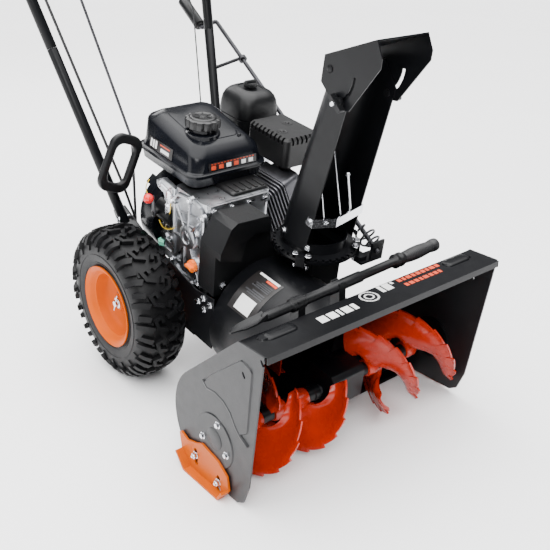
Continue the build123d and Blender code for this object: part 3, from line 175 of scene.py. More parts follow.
LOOKS = {
    PAINT: ("auger_housing scraper_bar impeller_drum gearbox_case shaft_bearings chassis bottom_cover "
            "handle_tube_left handle_tube_right upper_handle clutch_lever_left clutch_lever_right "
            "speed_lever chute chute_deflector chute_ring_clamps starter_motor"),
    PAINT_LIT_COPY: "side_plate_left side_plate_right",
    ENAMEL: "fuel_tank flywheel_shroud",
    HEAT_PAINT: "muffler",
    ORANGE: "wheel_rims",
    AUGER_RED: "auger_left auger_right impeller",
    SKID: "skid_shoe_left skid_shoe_right",
    ALLOY: "crankcase carburettor",
    FIN_ALLOY: "cylinder",
    ZINC: "chute_guard frame_bolts",
    STEEL: "auger_shaft impeller_shaft crankshaft_pulley friction_disc axle transmission_shaft "
           "drive_chain chute_crank crank_eye speed_rod",
    TYRE: "wheel_tyres",
    PLASTIC: "belt_cover heater_box dash_panel choke_knob starter_grip wing_knobs tool_clips "
             "clean_out_tool crank_grip",
    GLOSS_PLASTIC: "fuel_cap",
    GRIP: "handle_grips control_cables",
    RED: "throttle_lever",
    ORANGE_PLASTIC: "oil_dipstick",
    GREEN: "drain_cap",
    BELT: "drive_belts",
}
BEVELS = {
    "belt_cover": 4.0, "starter_grip": 4.5, "heater_box": 3.0, "dash_panel": 3.0, "crankcase": 2.0,
    "flywheel_shroud": 4.0, "muffler": 2.2, "carburettor": 1.5, "starter_motor": 2.0,
    "gearbox_case": 3.0, "fuel_tank": 3.0, "chute_ring_clamps": 1.0, "cylinder": 0.6,
}
SKIP_BEVEL = "wheel_tyres drive_chain drive_belts control_cables auger_left auger_right".split()


def bevel(obj, width, angle=38.0, segments=2):
    weld = obj.modifiers.new("weld", "WELD")
    weld.merge_threshold = 0.00002
    edge = obj.modifiers.new("bevel", "BEVEL")
    edge.width = width * MM
    edge.segments = segments
    edge.limit_method = "ANGLE"
    edge.angle_limit = math.radians(angle)
    edge.use_clamp_overlap = True


for look, names in LOOKS.items():
    for name in names.split():
        node = NODES[name]
        if not node.data.materials:
            node.data.materials.append(look)
        for index in range(len(node.material_slots)):
            node.material_slots[index].link = "OBJECT"
            node.material_slots[index].material = look
        if name not in SKIP_BEVEL:
            bevel(node, BEVELS.get(name, 0.7), segments=3 if name in BEVELS else 2)


# ------------------------------------------------------------------ mesh helpers
def finish_mesh(name, bm, look, body, sharp=35.0, stands_for=()):
    """Turn bmesh data into a riding piece with smooth shading up to the given angle."""
    bmesh.ops.recalc_face_normals(bm, faces=bm.faces)
    mesh = bpy.data.meshes.new(name)
    bm.to_mesh(mesh)
    bm.free()
    mesh.shade_smooth()
    mesh.set_sharp_from_angle(angle=math.radians(sharp))
    obj = bpy.data.objects.new(name, mesh)
    bpy.context.scene.collection.objects.link(obj)
    looks = look if isinstance(look, (list, tuple)) else [look]
    for item in looks:
        mesh.materials.append(item)
    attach(obj, body)
    if stands_for:
        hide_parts(*stands_for)
    return obj


def basis(direction, up=None):
    """Rotation whose third axis is the given direction."""
    z = Vector(direction).normalized()
    ref = Vector(up) if up else (Vector((0, 0, 1)) if abs(z.z) < 0.9 else Vector((1, 0, 0)))
    x = ref.cross(z).normalized()
    y = z.cross(x)
    return Matrix((x, y, z)).transposed()


def lathe(bm, at, direction, profile, steps=32, lobes=None, mat=0):
    """Revolve (radius, height) pairs, in millimetres; lobes(angle, r, h) may change the radius."""
    turn = basis(direction)
    rings = []
    for radius, height in profile:
        ring = []
        for i in range(steps):
            a = 2 * math.pi * i / steps
            r = lobes(a, radius, height) if lobes else radius
            ring.append(bm.verts.new(at + turn @ Vector((r * math.cos(a), r * math.sin(a), height)) * MM))
        rings.append(ring)
    for low, high in zip(rings, rings[1:]):
        for i in range(steps):
            j = (i + 1) % steps
            bm.faces.new((low[i], low[j], high[j], high[i])).material_index = mat
    for ring, flip in ((rings[0], True), (rings[-1], False)):
        face = bm.faces.new(ring[::-1] if flip else ring)
        face.material_index = mat


def hex_bolt(bm, at, direction, across=10.0, height=5.0, washer=8.0, mat=0):
    """Flanged hexagon head with a chamfered crown."""
    r = across / math.sqrt(3)
    lathe(bm, at, direction, [(washer, 0), (washer, 0.9), (washer * 0.93, 1.3), (r * 0.8, 1.4)], 24, mat=mat)
    lathe(bm, at, direction, [(r, 1.2), (r, height - 0.8), (r * 0.86, height)], 6, mat=mat)


def plate(bm, corners, thickness, mat=0):
    """Thin solid plate from a loop of points."""
    normal = (corners[1] - corners[0]).cross(corners[2] - corners[0]).normalized() * thickness * MM
    low = [bm.verts.new(p) for p in corners]
    high = [bm.verts.new(p + normal) for p in corners]
    count = len(corners)
    faces = [bm.faces.new(low[::-1]), bm.faces.new(high)]
    for i in range(count):
        j = (i + 1) % count
        faces.append(bm.faces.new((low[i], low[j], high[j], high[i])))
    for face in faces:
        face.material_index = mat


def rounded_rect(cx, cy, w, h, r, per=6):
    """Points round a rectangle with rounded corners."""
    points = []
    for k, (sx, sy) in enumerate(((1, 1), (-1, 1), (-1, -1), (1, -1))):
        for i in range(per + 1):
            a = math.radians(90 * k + 90 * i / per)
            points.append((cx + sx * (w / 2 - r) + r * math.cos(a), cy + sy * (h / 2 - r) + r * math.sin(a)))
    return points


def stack(bm, loops, cap=True, mat=0):
    """Skin a stack of loops with the same number of points."""
    rings = [[bm.verts.new(p) for p in loop] for loop in loops]
    count = len(rings[0])
    for low, high in zip(rings, rings[1:]):
        for i in range(count):
            j = (i + 1) % count
            bm.faces.new((low[i], low[j], high[j], high[i])).material_index = mat
    if cap:
        bm.faces.new(rings[0][::-1]).material_index = mat
        bm.faces.new(rings[-1]).material_index = mat


def wire(name, points, radius, look, body, closed=False):
    """Smooth round wire through points, in metres."""
    curve = bpy.data.curves.new(name, "CURVE")
    curve.dimensions = "3D"
    curve.bevel_depth = radius * MM
    curve.bevel_resolution = 4
    curve.use_fill_caps = True
    spline = curve.splines.new("NURBS")
    spline.points.add(len(points) - 1)
    for item, point in zip(spline.points, points):
        item.co = (*point, 1.0)
    spline.order_u = 3
    spline.use_endpoint_u = not closed
    spline.use_cyclic_u = closed
    curve.materials.append(look)
    obj = bpy.data.objects.new(name, curve)
    bpy.context.scene.collection.objects.link(obj)
    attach(obj, body)
    return obj


# ------------------------------------------------------------------ camera, floor and light
scene = bpy.context.scene
camera_data = bpy.data.cameras.new("camera")
camera_data.lens = 53.13
camera_data.sensor_width = 36.0
camera = bpy.data.objects.new("camera", camera_data)
camera.location = (-0.92157, -1.35134, 0.95204)
camera.rotation_euler = (math.radians(90 - 25.31), 0.0, math.radians(-39.33))
scene.collection.objects.link(camera)
scene.camera = camera

bm = bmesh.new()
bmesh.ops.create_grid(bm, x_segments=2, y_segments=2, size=9.0)
floor_mesh = bpy.data.meshes.new("floor")
bm.to_mesh(floor_mesh)
bm.free()
floor = bpy.data.objects.new("floor", floor_mesh)
floor.location = (0, 0, -0.0005)
floor_mesh.materials.append(material("floor_white", (0.93, 0.93, 0.935), 0.6, vary=0.01, vary_scale=1.5))
scene.collection.objects.link(floor)

world = bpy.data.worlds.new("studio")
world.use_nodes = True
sky = world.node_tree
background = sky.nodes["Background"]
direction = sky.nodes.new("ShaderNodeTexCoord")
split = sky.nodes.new("ShaderNodeSeparateXYZ")
sky.links.new(direction.outputs["Generated"], split.inputs["Vector"])
overhead = sky.nodes.new("ShaderNodeValToRGB")
overhead.color_ramp.elements[0].position = 0.55
overhead.color_ramp.elements[0].color = (0.030, 0.030, 0.032, 1)
overhead.color_ramp.elements[1].position = 0.86
overhead.color_ramp.elements[1].color = (1, 1, 1, 1)
sky.links.new(split.outputs["Z"], overhead.inputs["Fac"])
sky.links.new(overhead.outputs["Color"], background.inputs["Color"])
background.inputs["Strength"].default_value = 7.0
scene.world = world


def softbox(name, location, target, size, power, size_y=None):
    """Rectangular area light aimed at a point."""
    light = bpy.data.lights.new(name, "AREA")
    light.shape = "RECTANGLE"
    light.size = size
    light.size_y = size_y or size
    light.energy = power
    obj = bpy.data.objects.new(name, light)
    obj.location = location
    obj.rotation_euler = (Vector(target) - Vector(location)).to_track_quat("-Z", "Y").to_euler()
    scene.collection.objects.link(obj)


softbox("key", (-1.6, -2.0, 2.1), (0, -0.2, 0.3), 1.2, 45)
softbox("left", (-2.6, 0.4, 1.2), (0, 0, 0.3), 1.4, 26, 1.8)
softbox("back", (0.6, 2.6, 2.4), (0, 0, 0.3), 1.6, 40, 1.0)

# ------------------------------------------------------------------ tyres
AXLE = Vector((0.0, 0.040, 0.165))
TRACK_HALF = 0.189               # wheel centres left and right of the middle
AXLE_END = 0.2135                # half the length of the axle seen
CARCASS = [
    (0, 155.2), (14, 154.9), (26, 153.6), (36, 150), (43, 144), (48, 135), (50.5, 124), (51, 112),
    (49, 100), (46.5, 93), (45.5, 90), (47, 88.5), (44, 86), (40, 80), (36, 72.5),
]
TREAD_R = 157.5                  # radius at which the tread pattern is laid out
PITCHES = 20                     # repeats of the pattern round the tyre


def carcass_point(s):
    """Point and outward normal of the carcass, s millimetres of arc from the crown."""
    travelled = 0.0
    sign = -1 if s < 0 else 1
    s = abs(s)
    for (x0, r0), (x1, r1) in zip(CARCASS, CARCASS[1:]):
        step = math.hypot(x1 - x0, r1 - r0)
        if travelled + step >= s:
            t = (s - travelled) / step
            nx, nr = (r0 - r1) / step, (x1 - x0) / step
            return sign * (x0 + (x1 - x0) * t), r0 + (r1 - r0) * t, sign * nx, nr
        travelled += step
    return sign * 36, 72.5, sign, 0.0


def tread_point(centre, s, v, lift):
    """A point on the tread, s across and v round, raised by lift."""
    x, r, nx, nr = carcass_point(s)
    a = v / TREAD_R
    radius = r + nr * lift
    return centre + Vector(((x + nx * lift), radius * math.sin(a), radius * math.cos(a))) * MM


def lug(bm, centre, path, width, height, start):
    """A raised bar that follows the tread along a bent path of (s, v) points."""
    dense = []
    for (s0, v0), (s1, v1) in zip(path, path[1:]):
        parts = max(1, int(math.hypot(s1 - s0, v1 - v0) / 7))
        dense += [(s0 + (s1 - s0) * i / parts, v0 + (v1 - v0) * i / parts) for i in range(parts)]
    dense.append(path[-1])
    rows = []
    for i, (s, v) in enumerate(dense):
        before, after = dense[max(0, i - 1)], dense[min(len(dense) - 1, i + 1)]
        ds, dv = after[0] - before[0], after[1] - before[1]
        size = math.hypot(ds, dv)
        ns, nv = -dv / size, ds / size
        row = []
        for offset, lift in ((-0.52, -1.5), (-0.43, height), (0.43, height), (0.52, -1.5)):
            row.append(bm.verts.new(tread_point(
                centre, s + ns * offset * width, start + v + nv * offset * width, lift)))
        rows.append(row)
    for a, b in zip(rows, rows[1:]):
        for i in range(3):
            bm.faces.new((a[i], a[i + 1], b[i + 1], b[i]))
    bm.faces.new(rows[0])
    bm.faces.new(rows[-1][::-1])


def turned_loop(bm, centre, side, loop, steps):
    """Sweep a closed loop of (x, radius), in millimetres, round the axle line."""
    rings = []
    for i in range(steps):
        a = 2 * math.pi * i / steps
        rings.append([bm.verts.new(centre + Vector((side * x, r * math.sin(a), r * math.cos(a))) * MM)
                      for x, r in loop])
    for i in range(steps):
        a, b = rings[i], rings[(i + 1) % steps]
        for k in range(len(loop)):
            n = (k + 1) % len(loop)
            bm.faces.new((a[k], a[n], b[n], b[k]))


bm = bmesh.new()
pitch = 2 * math.pi * TREAD_R / PITCHES
for wheel_side in (-1, 1):
    centre = AXLE + Vector((wheel_side * TRACK_HALF, 0, 0))
    turned_loop(bm, centre, 1, [(-x, r) for x, r in reversed(CARCASS)] + CARCASS[1:], 96)
    for p in range(PITCHES):
        for side in (-1, 1):
            start = p * pitch + (pitch / 2 if side > 0 else 0)
            hook = [(side * 1.5, -2), (side * 20, 6), (side * 24, 23), (side * 13, 27), (side * 9, 17)]
            lug(bm, centre, hook, 8.6, 9.5, start)
            lug(bm, centre, [(side * 28, 4), (side * 42, 11), (side * 58, 13)], 13, 9.2, start)
            lug(bm, centre, [(side * 31, 27), (side * 43, 32), (side * 52, 34)], 12.5, 8.6, start)
            lug(bm, centre, [(side * 58, 13), (side * 69, 13.5)], 8, 2.8, start)
            lug(bm, centre, [(side * 30, 15), (side * 30, 20)], 5, 5.5, start)
    # raised rings of the sidewall
    for side in (-1, 1):
        for s in (78, 96):
            turns = [(side * s, 2 * math.pi * TREAD_R * i / 64) for i in range(65)]
            lug(bm, centre, turns, 1.8, 0.8, 0)
finish_mesh("treaded_tyres", bm, TYRE, "wheels", sharp=30,
            stands_for=["wheel_tyres"])

# deep dished rims, hub recessed behind the flange
RIM = [
    (-46, 10.4), (-46, 18), (-8, 18), (-9, 44), (-3, 58), (-12, 66), (-40, 66), (-46, 78),
    (-51, 87), (-48, 88), (-42, 80), (-36, 72), (36, 72), (42, 80), (48, 88), (51, 88.6), (52, 87),
    (48, 80), (44, 74.5), (38, 72.2), (36, 69), (20, 66), (12, 64), (8, 60), (2, 47), (0, 43),
    (2, 40.5), (2.5, 30), (1, 26), (6, 19), (20, 16.5), (22, 15), (22, 10.4),
]
bm = bmesh.new()
for wheel_side in (-1, 1):
    turned_loop(bm, AXLE + Vector((wheel_side * TRACK_HALF, 0, 0)), wheel_side, RIM, 72)
finish_mesh("dished_rims", bm, ORANGE, "wheels", sharp=38,
            stands_for=["wheel_rims"])

bm = bmesh.new()
lathe(bm, AXLE + Vector((-AXLE_END, 0, 0)), (1, 0, 0), [(9, 0), (10, 1), (10, 426), (9, 427)], 32)
lathe(bm, AXLE + Vector((0.080, 0, 0)), (1, 0, 0),
      [(17, 0), (18, 1), (18, 9), (40, 9), (40, 15), (18, 15), (18, 19), (17, 20)], 40)
finish_mesh("axle_bar", bm, STEEL, "wheels", sharp=35, stands_for=["axle"])

bm = bmesh.new()
for wheel_side in (-1, 1):
    end = AXLE + Vector((wheel_side * (AXLE_END - 0.001), 0, 0))
    hex_bolt(bm, end, (wheel_side, 0, 0), 13, 7, 12)
    lathe(bm, end + Vector((wheel_side * 0.004, -0.010, 0.022)), (0, 0.42, -0.9),
          [(1.4, 0), (1.6, 1), (1.6, 44), (1.4, 45)], 12)
finish_mesh("wheel_nuts", bm, ZINC, "wheels", sharp=28)

bm = bmesh.new()
for wheel_side in (-1, 1):
    stem = AXLE + Vector((wheel_side * 0.194, -0.026, 0.038))
    lathe(bm, stem, (wheel_side, -0.15, 0.1), [(5.2, 0), (5.2, 6), (3.8, 10), (3.6, 30), (2.2, 31)], 16)
finish_mesh("wheel_valves", bm, PLASTIC, "wheels")

# ------------------------------------------------------------------ auger ribbons
AUGER = Vector((0.0, -0.407, 0.105))
BLADE_PITCH = {-1: 190.0, 1: 260.0}
BLADE_REACH = 0.27
BLADES = ((91.0, 0.0), (145.0, 0.5), (199.0, 0.0))
FIRST_ARM = {-1: 133.0 / 360.0, 1: 43.0 / 360.0}
INNER_END = 48.0
TEETH = 17


def smooth(a, b, t):
    """Ease from 0 at a to 1 at b."""
    t = min(1.0, max(0.0, (t - a) / (b - a)))
    return t * t * (3 - 2 * t)


def blade_point(side, arm_x, arm_turn, turn, t, face, bite):
    """One skin point of a cast blade: turn is counted from its arm, t from the inner edge out."""
    angle = 2 * math.pi * (arm_turn + turn)
    away = min(1.0, abs(turn) / BLADE_REACH)
    if side > 0:
        inner = 17.0 + 17.0 * smooth(0.18, 0.50, away) + 27.0 * smooth(0.62, 1.0, away)
    else:
        inner = 17.0 + 42.0 * smooth(0.22, 0.78, away) + 14.0 * smooth(0.80, 1.0, away)
    outer = 100.0 - 5.0 * smooth(0.94, 1.0, away) - 5.6 * bite
    radius = inner + (outer - inner) * t
    thick = 2.0 + 2.2 * math.exp(-((t - 0.06) / 0.12) ** 2) + 1.2 * (1 - t)
    dish = (-20.0 if side > 0 else -13.0) * math.sin(math.pi * min(1.0, 0.10 + t)) * (1 - 0.4 * away)
    rolled = 5.0 * math.exp(-((t - 0.02) / 0.10) ** 2) * smooth(0.2, 0.6, away)
    slim = 1 - 0.55 * smooth(0.9, 1.0, away)
    run = BLADE_PITCH[side] * turn * (0.35 + 0.65 * smooth(0.0, 0.55, t + away * 0.6))
    x = side * (arm_x + run + face * thick * slim + 0.55 * dish + rolled)
    return AUGER + Vector((x, -radius * math.sin(angle), radius * math.cos(angle))) * MM


def auger_half(name, side, node):
    """Three toothed half-turn blades on one half of the shaft."""
    bm = bmesh.new()
    across = 14
    for arm_x, half_turn in BLADES:
        arm_turn = FIRST_ARM[side] + half_turn
        first = max(-BLADE_REACH, (INNER_END - arm_x) / BLADE_PITCH[side])
        count = round((BLADE_REACH - first) * TEETH * 7)
        turns = [first + (BLADE_REACH - first) * i / count for i in range(count + 1)]
        grid, last_bite = [], 0.0
        for turn in turns:
            bite = ((turn + 1) * TEETH) % 1.0
            steps = [(turn, bite)]
            if bite < last_bite:
                # the tooth ends in a short step, so the row is doubled where it falls back
                edge = math.floor((turn + 1) * TEETH) / TEETH - 1
                steps = [(edge - 0.0006, 1.0), (edge + 0.0006, 0.0), (turn, bite)]
            last_bite = bite
            for at, depth in steps:
                skin = [(k / across, -1) for k in range(across + 1)]
                skin += [(k / across, 1) for k in range(across, -1, -1)]
                grid.append([
                    bm.verts.new(blade_point(side, arm_x, arm_turn, at, t, face,
                                             depth * smooth(0.72, 0.90, t)))
                    for t, face in skin
                ])
        width = len(grid[0])
        for a, b in zip(grid, grid[1:]):
            for k in range(width):
                n = (k + 1) % width
                bm.faces.new((a[k], a[n], b[n], b[k]))
        bm.faces.new(grid[0])
        bm.faces.new(grid[-1][::-1])
        lathe(bm, AUGER + Vector((side * arm_x * MM, 0, 0)), (side, 0, 0),
              [(13, -15), (17, -13), (18.6, -8), (18.8, 8), (17, 13), (13, 15)], 32)
    # the tube between the blade hubs takes the black paint: partly the tube's own dark finish, partly
    # painted shade inside the housing
    lathe(bm, AUGER + Vector((side * 0.052, 0, 0)), (side, 0, 0),
          [(13, -3.8), (16, -3), (16, 8), (14, 10), (14, 196), (16, 198), (16, 203), (13, 204)],
          36, mat=1)
    return finish_mesh(name, bm, [AUGER_RED, PAINT], "auger", sharp=42,
                       stands_for=[node])


auger_half("auger_ribbon_left", -1, "auger_left")
auger_half("auger_ribbon_right", 1, "auger_right")

# ------------------------------------------------------------------ bolts
SKID_BOLTS = ((-352.0, 40.0), (-420.0, 22.0))
BEARING_BOLTS = (-20, 109, 204)  # degrees round the auger shaft
BEARING_R = 37.0
CHASSIS_BOLTS = ((292, 60), (275, 76), (252, 72), (271, 52))
CHASSIS_HALF = 118.0
bm = bmesh.new()
for side in (-1, 1):
    out = Vector((side, 0, 0))
    for y, z in SKID_BOLTS:
        lathe(bm, Vector((side * 0.280, y * MM, z * MM)), out, [(4, 0), (4, 7)], 16)
        hex_bolt(bm, Vector((side * 0.2863, y * MM, z * MM)), out, 11, 6, 7.6)
        lathe(bm, Vector((side * 0.2915, y * MM, z * MM)), out, [(3, 0), (3, 3.5), (2.4, 4)], 12)
    for angle in BEARING_BOLTS:
        a = math.radians(angle)
        spot = Vector((0, BEARING_R * math.cos(a), BEARING_R * math.sin(a))) * MM
        hex_bolt(bm, AUGER + spot + out * 0.282, out, 9, 5, 7)
    for y, z in CHASSIS_BOLTS:
        hex_bolt(bm, unit(side * CHASSIS_HALF, y, z), unit_dir(side, 0, 0), 9, 5, 7)
    hex_bolt(bm, unit(side * 92, 248, 112), unit_dir(0, -1, 0), 9, 5, 8)
    at = tube_point(side, 311)
    spacer = abs(at.x) / MM - CHASSIS_HALF - 10
    lathe(bm, Vector((side * CHASSIS_HALF * MM, at.y, at.z)), out, [(6, 0), (6, spacer)], 20)
    hex_bolt(bm, at + out * 0.0105, out, 10, 6, 7)
finish_mesh("hex_bolts", bm, ZINC, "machine", sharp=28, stands_for=["frame_bolts"])

# ------------------------------------------------------------------ fuel tank
def tank_top(y):
    """Height of the tank's sloping top, in the leaning frame."""
    return 334.0 + (y - 340.0) * 0.1762


def tank_loop(inset, height, radius, over=(1.0, 469.5, 174.0, 199.0)):
    """Rounded outline at a height, inset from a rectangle given as centre x, y, width and depth."""
    cx, cy, w, d = over
    loop = rounded_rect(cx, cy, w - 2 * inset, d - 2 * inset, radius, 8)
    return [unit(x, y, height(y) if callable(height) else height) for x, y in loop]


SEAM = (2.0, 470.0, 192.0, 216.0)
FILLER = (-20.0, 440.0)
bm = bmesh.new()
stack(bm, [
    tank_loop(14, 262.6, 16), tank_loop(4, 264, 20), tank_loop(0, 268, 22), tank_loop(-3, 286, 24),
    tank_loop(4, 287.5, 24, SEAM), tank_loop(0, 288, 26, SEAM), tank_loop(0, 290.8, 26, SEAM),
    tank_loop(2, 291.2, 25, SEAM), tank_loop(0, 291.6, 26, SEAM), tank_loop(0, 294.4, 26, SEAM),
    tank_loop(2.0, 295.6, 25, SEAM), tank_loop(5, 296.2, 24, SEAM),
    tank_loop(-1.5, 298, 26), tank_loop(1, 312, 27),
    tank_loop(3.5, lambda y: tank_top(y) - 19, 28), tank_loop(5.5, lambda y: tank_top(y) - 15, 28),
    tank_loop(20, lambda y: tank_top(y) - 3.2, 24), tank_loop(25, lambda y: tank_top(y) - 1.0, 22),
    tank_loop(36, lambda y: tank_top(y), 18), tank_loop(37, lambda y: tank_top(y) + 1.2, 18),
    tank_loop(40, lambda y: tank_top(y) + 1.6, 16), tank_loop(62, lambda y: tank_top(y) + 2.0, 8),
])
lathe(bm, unit(*FILLER, 346), unit_dir(0, 0, 1),
      [(37, 0), (36, 6.5), (33, 8.6), (25, 9), (24, 18), (20, 18)], 48)
lathe(bm, unit(46, 404, 346), unit_dir(0, 0, 1), [(4, -2), (3.4, 2.6), (2.0, 3.2)], 16)
finish_mesh("pressed_tank", bm, ENAMEL, "machine", sharp=33,
            stands_for=["fuel_tank"])


def cap_lobes(a, r, h):
    """Twelve finger grooves round the rim of the cap."""
    if r < 30:
        return r
    return r * (1 - 0.085 * (0.5 + 0.5 * math.cos(12 * a)) ** 3)


bm = bmesh.new()
lathe(bm, unit(*FILLER, 364.4), unit_dir(0, 0, 1), [
    (24, 0), (34.5, 0), (36, 1.2), (36.4, 13), (35, 16.5), (32, 18), (27.5, 18.2), (26.5, 19.6),
    (25, 20.6), (21, 21.2), (19.5, 20.4), (9, 20.2), (8, 21.4), (4, 21.8),
], 144, cap_lobes)
for k in range(6):
    a = math.pi * k / 3
    spoke = [(10, -1.6), (18.5, -1.6), (18.5, 1.6), (10, 1.6)]
    plate(bm, [unit(FILLER[0] + x * math.cos(a) - y * math.sin(a),
                    FILLER[1] + x * math.sin(a) + y * math.cos(a), 384.4) for x, y in spoke], 1.1)
finish_mesh("lobed_cap", bm, GLOSS_PLASTIC, "tank_cap", sharp=38,
            stands_for=["fuel_cap"])

# ------------------------------------------------------------------ air heater box
bm = bmesh.new()
BOX = (163.0, 524.5, 102.0, 111.0)
stack(bm, [
    tank_loop(8, 300.2, 20, BOX), tank_loop(2, 302, 24, BOX), tank_loop(0.5, 306, 26, BOX),
    tank_loop(0.5, 333, 27, BOX), tank_loop(2.2, 334, 26, BOX), tank_loop(2.2, 336, 26, BOX),
    tank_loop(0, 337, 27, BOX), tank_loop(0.5, 356, 28, BOX), tank_loop(2.5, 370, 29, BOX),
    tank_loop(6, 379, 29, BOX), tank_loop(11.5, 385.5, 28, BOX), tank_loop(19, 389.6, 24, BOX),
    tank_loop(28, 391.4, 18, BOX), tank_loop(29, 389.8, 17, BOX), tank_loop(36, 389.6, 12, BOX),
])
finish_mesh("moulded_heater_box", bm, PLASTIC, "machine", sharp=50,
            stands_for=["heater_box"])

# ------------------------------------------------------------------ silencer guard dressing
bm = bmesh.new()
for x, y in ((128, 366), (168, 398)):
    lathe(bm, unit(x, y, 351.6), unit_dir(0, 0, 1),
          [(12, 0), (11.5, 0.9), (9.5, 1.0), (6.5, -0.6), (5, 0.4), (4, 2.4), (2.5, 2.8)], 28)
finish_mesh("guard_dimples", bm, HEAT_PAINT, "machine")

# ------------------------------------------------------------------ crankcase casting
bm = bmesh.new()
LEFT = -100.0
TOP_BOLTS = (-84, -42, 0, 40)    # along the upper front edge


def on_case(y, z, out=0.0):
    """A point out from the left face of the crankcase."""
    return unit(LEFT - out, y, z)


def case_rib(y0, z0, y1, z1, width, height):
    """Raised rib with tapered flanks on the left face of the crankcase."""
    length = math.hypot(y1 - y0, z1 - z0)
    ny, nz = -(z1 - z0) / length * width / 2, (y1 - y0) / length * width / 2
    base = [(y0 + ny, z0 + nz), (y1 + ny, z1 + nz), (y1 - ny, z1 - nz), (y0 - ny, z0 - nz)]
    top = [(y0 + ny * 0.5, z0 + nz * 0.5), (y1 + ny * 0.5, z1 + nz * 0.5),
           (y1 - ny * 0.5, z1 - nz * 0.5), (y0 - ny * 0.5, z0 - nz * 0.5)]
    stack(bm, [[on_case(y, z, -1) for y, z in base], [on_case(y, z, height * 0.6) for y, z in base],
               [on_case(y, z, height) for y, z in top]])


rim_outline = [(312, 84), (309, 150), (309, 236), (318, 252), (352, 256), (396, 250), (410, 232),
               (411, 150), (408, 96), (392, 74), (340, 68)]
for (y0, z0), (y1, z1) in zip(rim_outline, rim_outline[1:] + rim_outline[:1]):
    case_rib(y0, z0, y1, z1, 9, 5.5)
for y0, z0, y1, z1, w, h in (
    (360, 170, 312, 236, 6, 5), (360, 170, 318, 90, 6, 5), (360, 170, 404, 104, 6, 5),
    (360, 170, 402, 226, 6, 5), (360, 170, 358, 250, 6, 5), (326, 200, 396, 196, 5, 3.5),
    (330, 226, 392, 214, 5, 3.5), (372, 150, 372, 84, 5, 3.5), (384, 160, 408, 158, 7, 4),
):
    case_rib(y0, z0, y1, z1, w, h)
lathe(bm, on_case(360, 170, -1), unit_dir(-1, 0, 0),
      [(27, 0), (26, 5), (22, 7), (15, 7.4), (14, 5), (9, 5), (8, 8), (4, 8.4)], 36)
case_bosses = rim_outline[::2] + [(324, 196)]
for y, z in case_bosses:
    lathe(bm, on_case(y, z, -1), unit_dir(-1, 0, 0), [(9, 0), (8, 7.5), (6.5, 8)], 20)
# rear lugs of the casting beside the starter
for outline in (
    [(408, 216), (408, 256), (452, 262), (476, 250), (470, 236), (448, 232), (438, 214)],
    [(406, 86), (408, 152), (430, 150), (452, 132), (456, 108), (440, 90)],
):
    loops = []
    for out, shrink in ((-6, 1.0), (3, 1.0), (4.5, 0.94)):
        cy = sum(y for y, z in outline) / len(outline)
        cz = sum(z for y, z in outline) / len(outline)
        loops.append([on_case(cy + (y - cy) * shrink, cz + (z - cz) * shrink, out) for y, z in outline])
    stack(bm, loops)
for y0, z0, y1, z1 in (
    (414, 240, 466, 248), (414, 224, 440, 222), (412, 110, 450, 112), (412, 130, 446, 134),
):
    case_rib(y0, z0, y1, z1, 6, 7)
for y, z in ((462, 247), (418, 248), (446, 104), (416, 140)):
    lathe(bm, on_case(y, z, 0), unit_dir(-1, 0, 0), [(7.5, 0), (7, 7), (5.5, 8), (3, 8), (3, 6)], 20)
# ribs of the upper front edge
for x0, x1, z in ((-96, 52, 258), (-90, 46, 252)):
    loops = []
    for x, k in ((x0, 3), (x0 + 4, 0), (x1 - 4, 0), (x1, 3)):
        section = ((300 + k, z - 3), (308, z - 3), (308, z + 3), (300 + k, z + 3))
        loops.append([unit(x, y, level) for y, level in section])
    stack(bm, loops)
for x in TOP_BOLTS:
    lathe(bm, unit(x, 307, 250), unit_dir(0, -1, 0), [(8.5, 0), (8, 6), (6.5, 7)], 18)
finish_mesh("case_ribs", bm, ALLOY, "machine", sharp=32)

bm = bmesh.new()
for y, z in case_bosses:
    hex_bolt(bm, on_case(y, z, 6.8), unit_dir(-1, 0, 0), 8, 4.5, 5.5)
for x in TOP_BOLTS:
    hex_bolt(bm, unit(x, 300.4, 250), unit_dir(0, -1, 0), 8, 4.5, 5.5)
# sensor, its bracket and the regulator on the left
lathe(bm, unit(-103, 424, 246), unit_dir(0, 0.06, -1),
      [(6, 0), (8.5, 1), (8.5, 16), (5.5, 18), (5.5, 30), (9.5, 32), (9.5, 52), (7, 54), (4, 62)], 24)
bracket = ((418, 250), (436, 246), (440, 196), (432, 150), (418, 146))
plate(bm, [unit(-101, y, z) for y, z in bracket], 2.4)
regulator = ((428, 140), (446, 146), (448, 122), (432, 116))
plate(bm, [unit(-103, y, z) for y, z in regulator], 5.5)
lathe(bm, unit(-103, 434, 168), unit_dir(-1, 0, 0), [(10, 0), (10, 5), (7, 6), (7, 9), (3, 9.4)], 24)
finish_mesh("left_hardware", bm, ZINC, "machine", sharp=32)

for index, points in enumerate((
    [(-104, 420, 226), (-109, 414, 212), (-110, 416, 196), (-108, 426, 186), (-104, 436, 190)],
    [(-104, 404, 171), (-109, 416, 162), (-110, 434, 157), (-108, 450, 158), (-106, 460, 164)],
    [(-106, 500, 240), (-112, 503, 228), (-114, 500, 216), (-112, 492, 206)],
)):
    wire(f"lead_{index}", [unit(*p) for p in points], 1.0, WIRE_YELLOW, "machine")

# red ball knob on a dark lever
bm = bmesh.new()
BALL_R = 10.6
ball = [(BALL_R * math.sin(math.pi * k / 20), BALL_R - BALL_R * math.cos(math.pi * k / 20))
        for k in range(1, 20)]
lathe(bm, unit(-134, 458, 210.6), unit_dir(0, 0, 1), ball, 32, mat=0)
lathe(bm, unit(-121, 456, 186), unit_dir(-1, 0, 0), [(8.5, 0), (8.5, 2.4), (6, 3.2)], 24, mat=1)
lever = ((450, 188), (462, 188), (461, 222), (455, 222))
stack(bm, [[unit(x, y, z) for y, z in lever] for x in (-121, -123.6)], mat=1)
lathe(bm, unit(-121, 458, 221.5), unit_dir(-1, 0, 0), [(4, 0), (4, 6), (3.2, 7)], 16, mat=1)
finish_mesh("ball_lever", bm, [RED, STEEL], "throttle",
            stands_for=["throttle_lever"])
